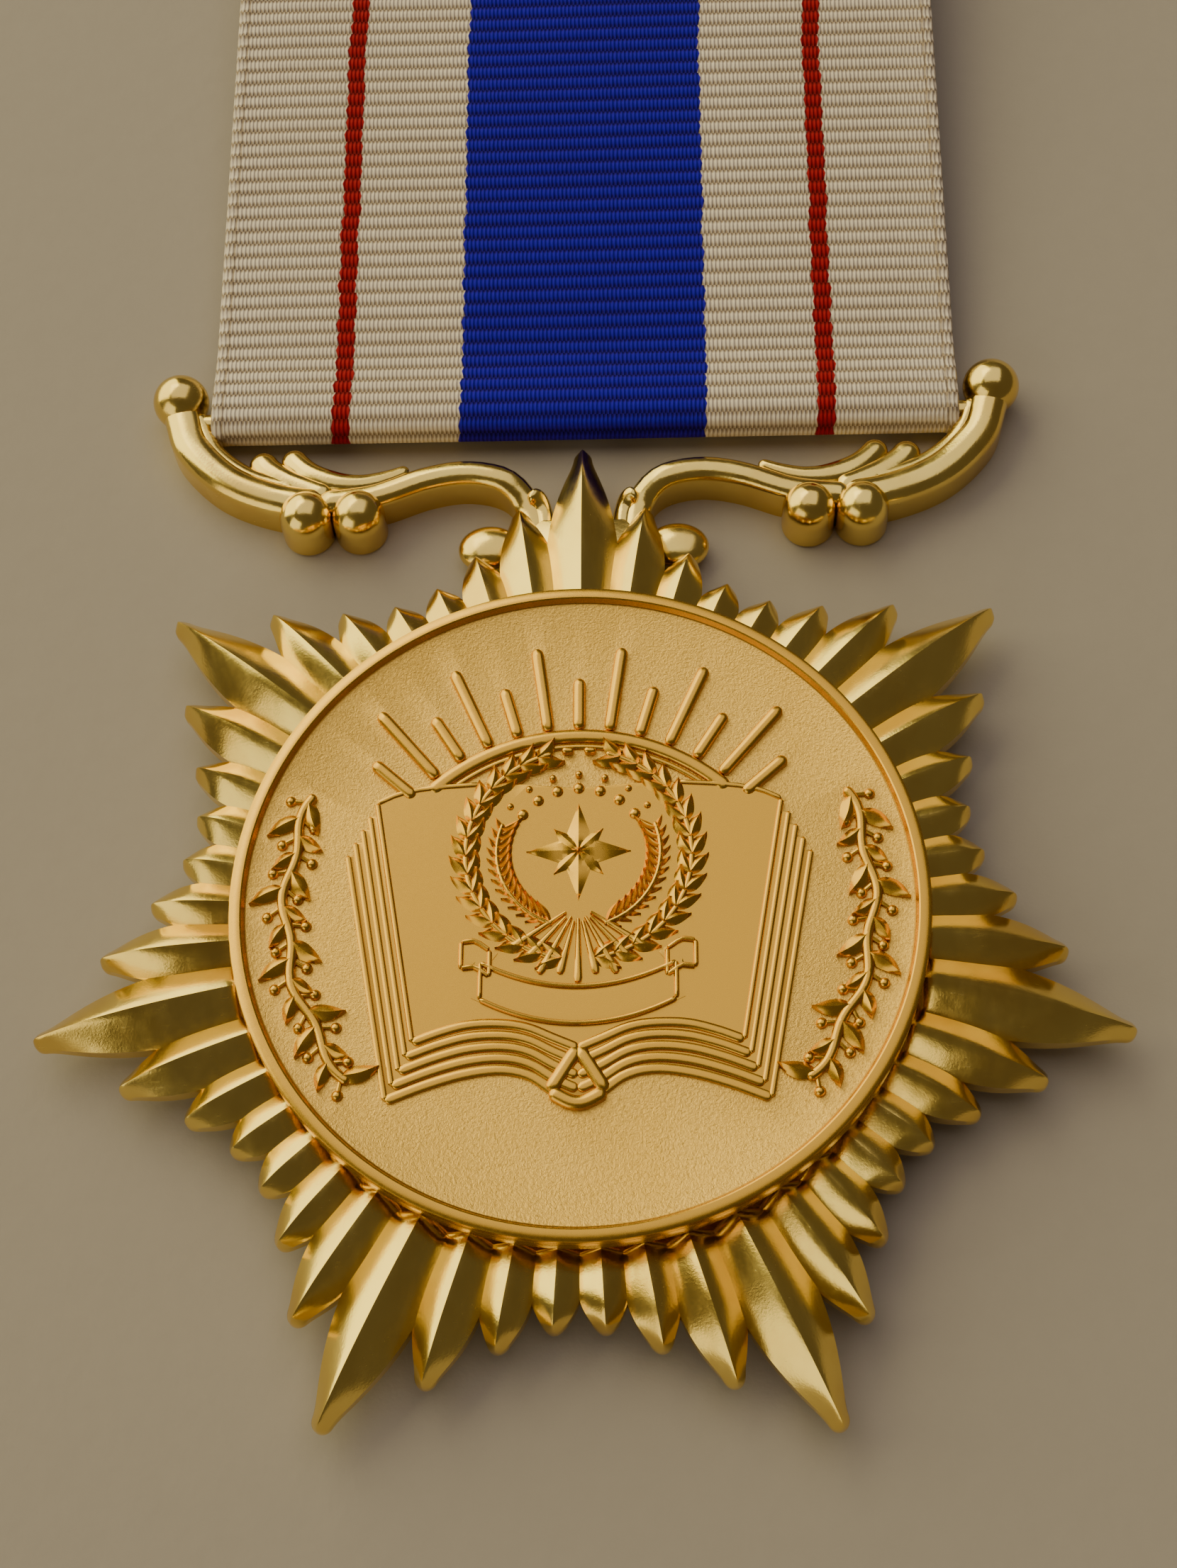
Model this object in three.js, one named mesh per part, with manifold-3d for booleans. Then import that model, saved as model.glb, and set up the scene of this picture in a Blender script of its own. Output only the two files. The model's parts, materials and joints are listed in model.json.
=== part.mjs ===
// A service medal that hangs from a brooch: a seven-pointed star with a relief disc on its face, a
// scroll suspender riveted behind the star's top ray, a folded ribbon that turns round a rod at each
// end, and a slot brooch with a pin.
//
// Frame, in millimetres: the medal lies on its back on z = 0 with its face up. The origin is the
// star's centre on that plane, +Y runs from the star to the brooch, +X is to the right when the face
// is seen, and +Z comes out of the face.
import * as THREE from "three";
import { ConvexGeometry } from "three/addons/geometries/ConvexGeometry.js";
import { mergeVertices } from "three/addons/utils/BufferGeometryUtils.js";
import Module from "manifold-3d";

// ---------- Driving dimensions ----------
const CLEARANCE = 0.15; // round a piece that another is relieved for
const RUNNING_FIT = 0.06; // radial, between a turning piece and its bore
const SEAT_FIT = 0.04; // radial, between a rivet or rod and its fixed bore

// Relief disc on the face
const DISC_RADIUS = 15.9;
const DISC_THICKNESS = 1.5;
const DISC_OVERHANG = 1.5; // of the disc over the star's boss
const DISC_SEAT_HEIGHT = 2.25; // of the boss over the star's back
const DISC_RIM_WIDTH = 0.6;
const DISC_FIELD_DEPTH = 0.35;
const RELIEF_HEIGHT = 0.28;
const SUN_RAYS = 13;
const SUN_CENTRE_Y = -0.115 * DISC_RADIUS;
const SUN_ROOT_RADIUS = 0.66 * DISC_RADIUS;
const SUN_LONG_REACH = 0.92 * DISC_RADIUS;
const SUN_SHORT_REACH = 0.81 * DISC_RADIUS;
const SUN_RAY_WIDTH = 0.6;
const SUN_STEP = THREE.MathUtils.degToRad(8);
const WREATH_CENTRE_Y = 0.13 * DISC_RADIUS;
const WREATH_OUTER_RADIUS = 0.37 * DISC_RADIUS;
const WREATH_INNER_RADIUS = 0.28 * DISC_RADIUS;

// Star
const STAR_POINTS = 7;
const STAR_BACK_Z = 1.6; // the star's back, and the thickness of what lies behind it
const SECTOR = (2 * Math.PI) / STAR_POINTS;
const MAIN_RAY = { turn: 0, beyondDisc: 9.8, width: 3.6, height: 2.2, taper: 2.1 };
const SIDE_RAYS = [
  { turn: 0.1593 * SECTOR, beyondDisc: 6.5, width: 2.9, height: 1.9, taper: 2.5 },
  { turn: 0.2991 * SECTOR, beyondDisc: 4.3, width: 2.4, height: 1.65, taper: 2.8 },
  { turn: 0.4329 * SECTOR, beyondDisc: 3.2, width: 2.25, height: 1.5, taper: 3 },
];
const RAY_ROOT_UNDER_DISC = 0.5; // how far every ray's rounded inner end lies inside the disc's edge
const RAY_TIP_HEIGHT = 0.55;
const RAY_EDGE_HEIGHT = 0.4;
const RAY_TIP_HALF_WIDTH = 0.26;
const RAY_WIDEST_SHARE = 0.32; // of a ray's length, from its root
const WEB_BEYOND_DISC = 1.8;
const WEB_THICKNESS = 0.8;

// Back disc and the rivets through it
const BACK_DISC_INSET = 2.5; // from the face disc's edge
const DISC_RIVET_RADIUS = 0.8;
const DISC_RIVET_HEAD_RADIUS = 1.5;
const DISC_RIVET_HEAD_HEIGHT = 0.6;
const DISC_RIVET_INSET = 4.4; // from the back disc's edge
const DISC_RIVET_BITE = 0.8; // how far the shank enters the face disc

// Scroll suspender
const ARM_HEIGHT = 2.3;
const ARM_INNER_WIDTH = 1.3;
const ARM_OUTER_WIDTH = 2.1;
const ARM_SIDE_INSIDE_BALL = 0.842;
const ARM_CORNER_INSIDE_BALL = 2.947;
const BALL_RADIUS = 1.45;
const BALL_ABOVE_ROD = 1.4;
const BEAD_RADIUS = 1.35;
const BEAD_HEIGHT = 2.95;
const BEADS_BELOW_ROD = 5.85;
const BEAD_SPACING = 2.68;
const BEADS_FROM_BALL = 8.3; // from the ball back to the middle of its pair of beads
const LEAF_THICKNESS = 1.9;
const BULB_HALF_LENGTH = 1.6;
const BULB_HALF_WIDTH = 1.3;
const BULB_X = 4.75;
const BULB_BELOW_ROD = 7.45;
const TONGUE_HALF_WIDTH = 3.3;
const TONGUE_BELOW_ROD = 5;
const SUSPENDER_RIVET_RADIUS = 0.5;
const SUSPENDER_RIVET_HEAD_RADIUS = 0.95;
const SUSPENDER_RIVET_HEAD_HEIGHT = 0.45;
const SUSPENDER_RIVET_BITE = 0.5;
const SUSPENDER_RIVET_X = 1.9;
const SUSPENDER_RIVET_BEYOND_DISC = 0.9;

// Ribbon and the two rods it turns round
const RIBBON_WIDTH = 38.5;
const RIBBON_THICKNESS = 0.45;
const ROD_RADIUS = 0.6;
const LOOP_ABOVE_STAR = 1.4; // from the star's top tip to the ribbon's loop
const LOOP_ABOVE_REST = 0.2;
const RIBBON_DROP = 45.6; // between the two rod axes, along Y
const RIBBON_SIDE_GAP = 0.35; // from the ribbon's edge to what holds its rod
const LOOP_TAPER = 4.5; // over which the two legs come together

// Brooch
const BROOCH_PLATE_BACK_Z = 4;
const BROOCH_PLATE_THICKNESS = 1;
const BROOCH_PLATE_HEIGHT = 7;
const BROOCH_CORNER_RADIUS = 1.6;
const BROOCH_EAR_WIDTH = 1.9;
const BROOCH_SLOT_GAP = 0.5; // between the ribbon's loop and the plate

// Pin, its hinge and its catch
const PIN_RADIUS = 0.5;
const PIN_EYE_RADIUS = 1.15;
const PIN_EYE_LENGTH = 2.2;
const PIN_POINT_LENGTH = 3;
const HINGE_FROM_END = 5; // of the brooch's frame
const CATCH_FROM_END = 6;
const PIN_OVERHANG = 3; // past the middle of the catch
const KNUCKLE_RADIUS = 1.3;
const KNUCKLE_THICKNESS = 0.8;
const HINGE_RIVET_RADIUS = 0.5;
const FOOT_THICKNESS = 0.6;
const FOOT_LENGTH = 4.6;
const CATCH_LENGTH = 2.4;
const CATCH_OUTER_RADIUS = 1.3;
const CATCH_INNER_RADIUS = 0.75;
const CATCH_MOUTH = 1.25;

// ---------- Values worked out from them ----------
const DISC_SEAT_RADIUS = DISC_RADIUS - DISC_OVERHANG;
const BACK_DISC_RADIUS = DISC_RADIUS - BACK_DISC_INSET;
const DISC_RIVET_X = BACK_DISC_RADIUS - DISC_RIVET_INSET;
const RAY_ROOT_RADIUS = DISC_RADIUS - RAY_ROOT_UNDER_DISC;
const WEB_RADIUS = DISC_RADIUS + WEB_BEYOND_DISC;
const SUSPENDER_RIVET_Y = DISC_RADIUS + SUSPENDER_RIVET_BEYOND_DISC;
const DISC_BOTTOM_Z = STAR_BACK_Z + DISC_SEAT_HEIGHT;
const DISC_TOP_Z = DISC_BOTTOM_Z + DISC_THICKNESS;
const DISC_FIELD_Z = DISC_TOP_Z - DISC_FIELD_DEPTH;
const RIBBON_INNER_RADIUS = ROD_RADIUS + RUNNING_FIT;
const RIBBON_OUTER_RADIUS = RIBBON_INNER_RADIUS + RIBBON_THICKNESS;
const RIBBON_ROD_Y = DISC_RADIUS + MAIN_RAY.beyondDisc + LOOP_ABOVE_STAR + RIBBON_OUTER_RADIUS;
const RIBBON_ROD_Z = RIBBON_OUTER_RADIUS + LOOP_ABOVE_REST;
const BROOCH_ROD_Y = RIBBON_ROD_Y + RIBBON_DROP;
const BROOCH_ROD_Z = BROOCH_PLATE_BACK_Z + BROOCH_PLATE_THICKNESS / 2;
const BROOCH_HALF_LENGTH = RIBBON_WIDTH / 2 + RIBBON_SIDE_GAP + BROOCH_EAR_WIDTH;
const BROOCH_PLATE_Y = BROOCH_ROD_Y + RIBBON_OUTER_RADIUS + BROOCH_SLOT_GAP;
const PIN_Y = BROOCH_PLATE_Y + BROOCH_PLATE_HEIGHT / 2;
const PIN_Z = KNUCKLE_RADIUS;
const PIN_HINGE_X = HINGE_FROM_END - BROOCH_HALF_LENGTH;
const PIN_CATCH_X = BROOCH_HALF_LENGTH - CATCH_FROM_END;
const ARM_END_X = RIBBON_WIDTH / 2 + RIBBON_SIDE_GAP + ARM_OUTER_WIDTH / 2;
const BALL_X = ARM_END_X + 0.4;
const BALL_Y = RIBBON_ROD_Y + BALL_ABOVE_ROD;
const BEADS_X = BALL_X - BEADS_FROM_BALL;
const BEADS_Y = RIBBON_ROD_Y - BEADS_BELOW_ROD;
const BULB_Y = RIBBON_ROD_Y - BULB_BELOW_ROD;
const TONGUE_TOP_Y = RIBBON_ROD_Y - TONGUE_BELOW_ROD;
const RIBBON_ROD_HALF_LENGTH = ARM_END_X - 0.2;

// ---------- Materials ----------
const polishedGold = new THREE.MeshStandardMaterial({ color: 0xd9a83c, roughness: 0.22, metalness: 1 });
const satinGold = new THREE.MeshStandardMaterial({ color: 0xcf9a44, roughness: 0.5, metalness: 1 });
const plainBrass = new THREE.MeshStandardMaterial({ color: 0xb98f3f, roughness: 0.4, metalness: 1 });
const ribbonCloth = new THREE.MeshStandardMaterial({ color: 0xc9bca6, roughness: 0.95, metalness: 0 });

// ---------- Solids ----------
const wasm = await Module();
wasm.setup();

/** A closed geometry as a manifold solid with its faces out. */
function solidOf(geometry) {
  const bare = new THREE.BufferGeometry();
  const flat = geometry.index ? geometry.toNonIndexed() : geometry;
  bare.setAttribute("position", flat.getAttribute("position"));
  const merged = mergeVertices(bare, 1e-4);
  const vertProperties = new Float32Array(merged.attributes.position.array);
  const triVerts = new Uint32Array(merged.index.array);
  const solid = new wasm.Manifold(new wasm.Mesh({ numProp: 3, vertProperties, triVerts }));
  if (solid.volume() > 0) return solid;
  for (let i = 0; i < triVerts.length; i += 3) {
    [triVerts[i + 1], triVerts[i + 2]] = [triVerts[i + 2], triVerts[i + 1]];
  }
  return new wasm.Manifold(new wasm.Mesh({ numProp: 3, vertProperties, triVerts }));
}

/** A manifold solid as a three.js geometry. */
function geometryOf(solid) {
  const mesh = solid.getMesh();
  const geometry = new THREE.BufferGeometry();
  geometry.setAttribute("position", new THREE.BufferAttribute(new Float32Array(mesh.vertProperties), 3));
  geometry.setIndex(new THREE.BufferAttribute(new Uint32Array(mesh.triVerts), 1));
  geometry.computeVertexNormals();
  return geometry;
}

const joined = (solids) => solids.reduce((whole, solid) => whole.add(solid));
const cut = (solid, tools) => tools.reduce((rest, tool) => rest.subtract(tool), solid);

/** A round bar along Z. */
function barZ(radius, x, y, z0, z1, sides = 20) {
  const bar = new THREE.CylinderGeometry(radius, radius, z1 - z0, sides);
  return solidOf(bar.rotateX(Math.PI / 2).translate(x, y, (z0 + z1) / 2));
}

/** A round bar along X. */
function barX(radius, x0, x1, y, z, sides = 20) {
  const bar = new THREE.CylinderGeometry(radius, radius, x1 - x0, sides);
  return solidOf(bar.rotateZ(Math.PI / 2).translate((x0 + x1) / 2, y, z));
}

/** A round bar along Y. */
function barY(radius, x, y0, y1, z, sides = 20) {
  const bar = new THREE.CylinderGeometry(radius, radius, y1 - y0, sides);
  return solidOf(bar.translate(x, (y0 + y1) / 2, z));
}

/** A block between two corners. */
function block(x0, x1, y0, y1, z0, z1) {
  const box = new THREE.BoxGeometry(x1 - x0, y1 - y0, z1 - z0);
  return solidOf(box.translate((x0 + x1) / 2, (y0 + y1) / 2, (z0 + z1) / 2));
}

/** A flat outline raised from z0 to z1. */
function prism(shape, z0, z1, curveSegments = 8) {
  const options = { depth: z1 - z0, bevelEnabled: false, curveSegments };
  return solidOf(new THREE.ExtrudeGeometry(shape, options).translate(0, 0, z0));
}

/** A profile of [radius, z] corners turned about a vertical axis at (x, y). */
function turned(profile, x, y, sides) {
  const points = profile.map(([radius, z]) => new THREE.Vector2(radius, z));
  return solidOf(new THREE.LatheGeometry(points, sides).rotateX(Math.PI / 2).translate(x, y, 0));
}

/** The same solid on the other side of the YZ plane. */
const mirrored = (solid) => solidOf(geometryOf(solid).scale(-1, 1, 1));

// ---------- Star ----------

/** One bevelled ray: a rounded root, its widest point a third of the way out, a blunt tip and a ridge. */
function ray({ turn, beyondDisc, width, height, taper }, growth = 0) {
  const length = DISC_RADIUS + beyondDisc - RAY_ROOT_RADIUS;
  const stations = [0, 0.1, RAY_WIDEST_SHARE, 0.55, 0.75, 0.9, 1];
  const points = [];
  for (const t of stations) {
    const inward = Math.max(0, 1 - t / RAY_WIDEST_SHARE);
    const outward = Math.max(0, (t - RAY_WIDEST_SHARE) / (1 - RAY_WIDEST_SHARE));
    const fullness = Math.sqrt(1 - inward ** 2) * (1 - outward ** taper);
    const least = outward > 0 ? RAY_TIP_HALF_WIDTH : 0;
    const half = Math.max((width / 2) * fullness, least) + growth;
    const ridge = RAY_TIP_HEIGHT + (height - RAY_TIP_HEIGHT) * Math.sqrt(Math.max(0, fullness)) + growth;
    const along = RAY_ROOT_RADIUS + length * t + (t === 1 ? growth : 0);
    const back = STAR_BACK_Z;
    points.push(new THREE.Vector3(-half, along, back), new THREE.Vector3(half, along, back));
    points.push(new THREE.Vector3(-half, along, back + RAY_EDGE_HEIGHT + growth));
    points.push(new THREE.Vector3(half, along, back + RAY_EDGE_HEIGHT + growth));
    points.push(new THREE.Vector3(0, along, back + ridge));
  }
  return solidOf(new ConvexGeometry(points).rotateZ(-turn));
}

/** The main ray at a turn and the side rays on both sides of it. */
function raysAbout(turn, sideRays, growth = 0) {
  const sides = sideRays.flatMap((side) => [
    { ...side, turn: turn + side.turn },
    { ...side, turn: turn - side.turn },
  ]);
  return [{ ...MAIN_RAY, turn }, ...sides].map((shape) => ray(shape, growth));
}

const discRivets = [-1, 1].map((side) => ({ x: side * DISC_RIVET_X, y: 0 }));
const suspenderRivets = [-1, 1].map((side) => ({ x: side * SUSPENDER_RIVET_X, y: SUSPENDER_RIVET_Y }));

/** The bores that a set of rivets needs between two heights. */
function bores(places, radius, z0, z1) {
  return places.map(({ x, y }) => barZ(radius + SEAT_FIT, x, y, z0, z1));
}

/** The struck star: its rays, the web that joins them and the boss that the face disc sits on. */
function star() {
  const rays = [];
  for (let i = 0; i < STAR_POINTS; i++) rays.push(...raysAbout(i * SECTOR, SIDE_RAYS));
  const web = barZ(WEB_RADIUS, 0, 0, STAR_BACK_Z, STAR_BACK_Z + WEB_THICKNESS, 49);
  const boss = barZ(DISC_SEAT_RADIUS, 0, 0, STAR_BACK_Z, DISC_BOTTOM_Z, 49);
  const body = joined([web, boss, ...rays]);
  const through = bores(discRivets, DISC_RIVET_RADIUS, STAR_BACK_Z - 1, DISC_TOP_Z);
  const blindTop = STAR_BACK_Z + SUSPENDER_RIVET_BITE;
  const blind = bores(suspenderRivets, SUSPENDER_RIVET_RADIUS, STAR_BACK_Z - 1, blindTop);
  return cut(body, [...through, ...blind]);
}

// ---------- Face disc ----------

/** A bar of the sunburst at an angle from +X, with round ends. */
function sunRay(angle, reach) {
  const half = SUN_RAY_WIDTH / 2;
  const shape = new THREE.Shape();
  shape.absarc(SUN_ROOT_RADIUS + half, 0, half, Math.PI / 2, 1.5 * Math.PI, false);
  shape.absarc(reach - half, 0, half, -Math.PI / 2, Math.PI / 2, false);
  const options = { depth: RELIEF_HEIGHT + DISC_FIELD_DEPTH, bevelEnabled: false, curveSegments: 4 };
  const bar = new THREE.ExtrudeGeometry(shape, options).rotateZ(angle);
  return solidOf(bar.translate(0, SUN_CENTRE_Y, DISC_FIELD_Z - DISC_FIELD_DEPTH));
}

/** One half of the open book's outline, as a plain raised page. */
function page(side) {
  const at = (x, y) => new THREE.Vector2(side * x * DISC_RADIUS, y * DISC_RADIUS);
  const top = [at(0, 0.3), at(0.29, 0.35), at(0.585, 0.295)];
  const foot = [at(0.53, -0.6), at(0.31, -0.5), at(0, -0.6)];
  const outline = new THREE.Shape([...top, ...foot]);
  return prism(outline, DISC_FIELD_Z - DISC_FIELD_DEPTH, DISC_FIELD_Z + RELIEF_HEIGHT / 2);
}

/** A flat ring raised from the field, which carries the wreath. */
function wreathRing() {
  const ring = new THREE.Shape().absarc(0, WREATH_CENTRE_Y, WREATH_OUTER_RADIUS, 0, 2 * Math.PI, false);
  ring.holes.push(new THREE.Path().absarc(0, WREATH_CENTRE_Y, WREATH_INNER_RADIUS, 0, 2 * Math.PI, true));
  return prism(ring, DISC_FIELD_Z - DISC_FIELD_DEPTH, DISC_FIELD_Z + RELIEF_HEIGHT, 16);
}

/** The relief disc: a raised rim, a sunk field, a sunburst over an open book, and the wreath's ring. */
function faceDisc() {
  const fieldRadius = DISC_RADIUS - DISC_RIM_WIDTH;
  const blank = turned(
    [
      [0, DISC_BOTTOM_Z],
      [DISC_RADIUS - 0.2, DISC_BOTTOM_Z],
      [DISC_RADIUS, DISC_BOTTOM_Z + 0.2],
      [DISC_RADIUS, DISC_TOP_Z - 0.2],
      [DISC_RADIUS - 0.2, DISC_TOP_Z],
      [fieldRadius, DISC_TOP_Z],
      [fieldRadius - 0.25, DISC_FIELD_Z],
      [0, DISC_FIELD_Z],
    ],
    0,
    0,
    60,
  );
  const sun = [];
  for (let i = 0; i < SUN_RAYS; i++) {
    const fromMiddle = i - (SUN_RAYS - 1) / 2;
    const reach = i % 2 ? SUN_LONG_REACH : SUN_SHORT_REACH;
    sun.push(sunRay(Math.PI / 2 + fromMiddle * SUN_STEP, reach));
  }
  const relief = joined([blank, ...sun, page(-1), page(1), wreathRing()]);
  const blindTop = DISC_BOTTOM_Z + DISC_RIVET_BITE;
  return cut(relief, bores(discRivets, DISC_RIVET_RADIUS, DISC_BOTTOM_Z - 1, blindTop));
}

// ---------- Back disc and rivets ----------

/** The plain disc that closes the star's back and gives the medal its flat rest. */
function backDisc() {
  const disc = turned(
    [
      [0, 0],
      [BACK_DISC_RADIUS - 0.25, 0],
      [BACK_DISC_RADIUS, 0.25],
      [BACK_DISC_RADIUS, STAR_BACK_Z],
      [0, STAR_BACK_Z],
    ],
    0,
    0,
    60,
  );
  const heads = bores(discRivets, DISC_RIVET_HEAD_RADIUS, -1, DISC_RIVET_HEAD_HEIGHT + SEAT_FIT);
  return cut(disc, [...heads, ...bores(discRivets, DISC_RIVET_RADIUS, -1, STAR_BACK_Z + 1)]);
}

/** A rivet with its flat head sunk in the back and its shank running up to z1. */
function rivet({ x, y }, radius, headRadius, headHeight, z1) {
  const sink = 0.1;
  return joined([barZ(headRadius, x, y, sink, headHeight), barZ(radius, x, y, sink, z1 - SEAT_FIT)]);
}

// ---------- Scroll suspender ----------

/** A point of the right side: a share of the way out to the ball, and a height over the ribbon rod. */
const onArm = ([share, aboveRod]) => new THREE.Vector3(share * BALL_X, RIBBON_ROD_Y + aboveRod, 0);

/** The outer arm's centre line in plan, from the ball down and in to the beads. */
const outerArm = [
  [1, BALL_ABOVE_ROD],
  [ARM_END_X / BALL_X, 0],
  [1 - ARM_SIDE_INSIDE_BALL / BALL_X, -1.6],
  [1 - ARM_CORNER_INSIDE_BALL / BALL_X, -3.65],
  [0.74, -4.7],
  [0.61, -5.05],
];

/** The inner arm's centre line, from the beads up over the hump and down to the tongue. */
const innerArm = [
  [0.66, -5],
  [0.57, -5],
  [0.49, -4.75],
  [0.38, -3.85],
  [0.29, -3.55],
  [0.2, -3.85],
  [0.123, -5.4],
];

/** An arched bar with a flat back and a rounded top that follows part of the arm's line. */
function armSection(points, width, steps) {
  const wall = ARM_HEIGHT - width / 2;
  const section = new THREE.Shape();
  section.moveTo(0, -width / 2);
  section.lineTo(-wall, -width / 2);
  section.absarc(-wall, 0, width / 2, -Math.PI / 2, -1.5 * Math.PI, true);
  section.lineTo(0, width / 2);
  const path = new THREE.CatmullRomCurve3(points.map(onArm));
  return solidOf(new THREE.ExtrudeGeometry(section, { steps, extrudePath: path, curveSegments: 3 }));
}

/** A two-pronged leaf that curls up from the arm beside the beads and trails off along it. */
function leaf() {
  const at = (share, aboveRod) => onArm([share, aboveRod]);
  const curve = (shape, bend, end) => shape.quadraticCurveTo(bend.x, bend.y, end.x, end.y);
  const shape = new THREE.Shape();
  shape.moveTo(at(0.435, -3.15).x, at(0.435, -3.15).y);
  curve(shape, at(0.53, -3.9), at(0.61, -3.9));
  curve(shape, at(0.68, -3.2), at(0.705, -1.8));
  for (const corner of [at(0.75, -1.8), at(0.76, -2.3), at(0.785, -1.7), at(0.82, -2.1)]) {
    shape.lineTo(corner.x, corner.y);
  }
  curve(shape, at(0.76, -4), at(0.66, -5));
  shape.lineTo(at(0.435, -4.2).x, at(0.435, -4.2).y);
  return prism(shape, 0, LEAF_THICKNESS, 4);
}

/** A short post with a domed top. */
function bead(x) {
  const shoulder = BEAD_HEIGHT - BEAD_RADIUS;
  const profile = [
    [0, 0],
    [BEAD_RADIUS, 0],
    [BEAD_RADIUS, shoulder],
  ];
  for (let i = 1; i <= 4; i++) {
    const angle = (i * Math.PI) / 8;
    profile.push([i === 4 ? 0 : BEAD_RADIUS * Math.cos(angle), shoulder + BEAD_RADIUS * Math.sin(angle)]);
  }
  return turned(profile, x, BEADS_Y, 14);
}

/** The ball that ends an arm. */
function ball() {
  const sphere = new THREE.SphereGeometry(BALL_RADIUS, 14, 8).rotateX(Math.PI / 2);
  return solidOf(sphere.translate(BALL_X, BALL_Y, BALL_RADIUS));
}

/** A flattened oval knob beside the foot, whose top lies level with the star's back. */
function bulb() {
  const halfHeight = STAR_BACK_Z / 2;
  const knob = new THREE.SphereGeometry(1, 14, 8).scale(BULB_HALF_LENGTH, BULB_HALF_WIDTH, halfHeight);
  return solidOf(knob.translate(BULB_X, BULB_Y, halfHeight));
}

/** One side of the suspender. */
function suspenderSide() {
  const outer = armSection(outerArm, ARM_OUTER_WIDTH, 14);
  const inner = armSection(innerArm, ARM_INNER_WIDTH, 16);
  const beads = [bead(BEADS_X + BEAD_SPACING / 2), bead(BEADS_X - BEAD_SPACING / 2)];
  const neck = block(0, BULB_X, BULB_Y - 0.5, BULB_Y + 0.5, 0, STAR_BACK_Z / 2);
  return joined([outer, inner, leaf(), ...beads, ball(), bulb(), neck]);
}

/** The cast suspender: two scrolled arms and the tongue that lies behind the star's top ray. */
function suspender() {
  const lowY = BACK_DISC_RADIUS + 2 * CLEARANCE;
  const tongue = block(-TONGUE_HALF_WIDTH, TONGUE_HALF_WIDTH, lowY, TONGUE_TOP_Y, 0, STAR_BACK_Z);
  const right = suspenderSide();
  const whole = joined([tongue, right, mirrored(right)]);
  const rodBore = barX(
    ROD_RADIUS + SEAT_FIT,
    -RIBBON_ROD_HALF_LENGTH - SEAT_FIT,
    RIBBON_ROD_HALF_LENGTH + SEAT_FIT,
    RIBBON_ROD_Y,
    RIBBON_ROD_Z,
  );
  const shanks = bores(suspenderRivets, SUSPENDER_RIVET_RADIUS, -1, STAR_BACK_Z + 1);
  const sink = SUSPENDER_RIVET_HEAD_HEIGHT + SEAT_FIT;
  const heads = bores(suspenderRivets, SUSPENDER_RIVET_HEAD_RADIUS, -1, sink);
  const nearRays = raysAbout(0, SIDE_RAYS.slice(0, 2), CLEARANCE);
  return cut(whole, [rodBore, ...shanks, ...heads, ...nearRays]);
}

// ---------- Ribbon ----------

/** The folded ribbon as one solid: a loop round each rod and the two legs pressed together between them. */
function ribbon() {
  const rise = BROOCH_ROD_Z - RIBBON_ROD_Z;
  const span = Math.hypot(RIBBON_DROP, rise);
  const leg = RIBBON_THICKNESS * 1.1;
  const open = THREE.MathUtils.degToRad(75); // where a leg leaves its loop
  const outline = new THREE.Shape();
  outline.moveTo(span - LOOP_TAPER, leg);
  outline.lineTo(LOOP_TAPER, leg);
  outline.absarc(0, 0, RIBBON_OUTER_RADIUS, open, 2 * Math.PI - open, false);
  outline.lineTo(LOOP_TAPER, -leg);
  outline.lineTo(span - LOOP_TAPER, -leg);
  outline.absarc(span, 0, RIBBON_OUTER_RADIUS, open - Math.PI, Math.PI - open, false);
  for (const s of [0, span]) {
    outline.holes.push(new THREE.Path().absarc(s, 0, RIBBON_INNER_RADIUS, 0, 2 * Math.PI, true));
  }
  const options = { depth: RIBBON_WIDTH, bevelEnabled: false, curveSegments: 20 };
  const geometry = new THREE.ExtrudeGeometry(outline, options);
  const along = new THREE.Vector3(0, RIBBON_DROP / span, rise / span);
  const out = new THREE.Vector3(0, -rise / span, RIBBON_DROP / span);
  const place = new THREE.Matrix4().makeBasis(along, out, new THREE.Vector3(1, 0, 0));
  place.setPosition(-RIBBON_WIDTH / 2, RIBBON_ROD_Y, RIBBON_ROD_Z);
  return solidOf(geometry.applyMatrix4(place));
}

// ---------- Brooch ----------

/** The brooch's frame: a flat bar with rounded corners and two ears that hold its rod. */
function broochFrame() {
  const y1 = BROOCH_PLATE_Y + BROOCH_PLATE_HEIGHT;
  const half = BROOCH_HALF_LENGTH;
  const corner = BROOCH_CORNER_RADIUS;
  const outline = new THREE.Shape();
  outline.moveTo(-half, BROOCH_PLATE_Y);
  outline.lineTo(half, BROOCH_PLATE_Y);
  outline.absarc(half - corner, y1 - corner, corner, 0, Math.PI / 2, false);
  outline.absarc(corner - half, y1 - corner, corner, Math.PI / 2, Math.PI, false);
  const plateTop = BROOCH_PLATE_BACK_Z + BROOCH_PLATE_THICKNESS;
  const pieces = [prism(outline, BROOCH_PLATE_BACK_Z, plateTop, 6)];
  const earX = half - BROOCH_EAR_WIDTH;
  for (const [x0, x1] of [
    [earX, half],
    [-half, -earX],
  ]) {
    pieces.push(barX(RIBBON_OUTER_RADIUS, x0, x1, BROOCH_ROD_Y, BROOCH_ROD_Z));
    pieces.push(block(x0, x1, BROOCH_ROD_Y, BROOCH_PLATE_Y + 0.5, BROOCH_PLATE_BACK_Z, plateTop));
  }
  const bore = barX(ROD_RADIUS + SEAT_FIT, -half - 1, half + 1, BROOCH_ROD_Y, BROOCH_ROD_Z);
  return cut(joined(pieces), [bore]);
}

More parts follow.
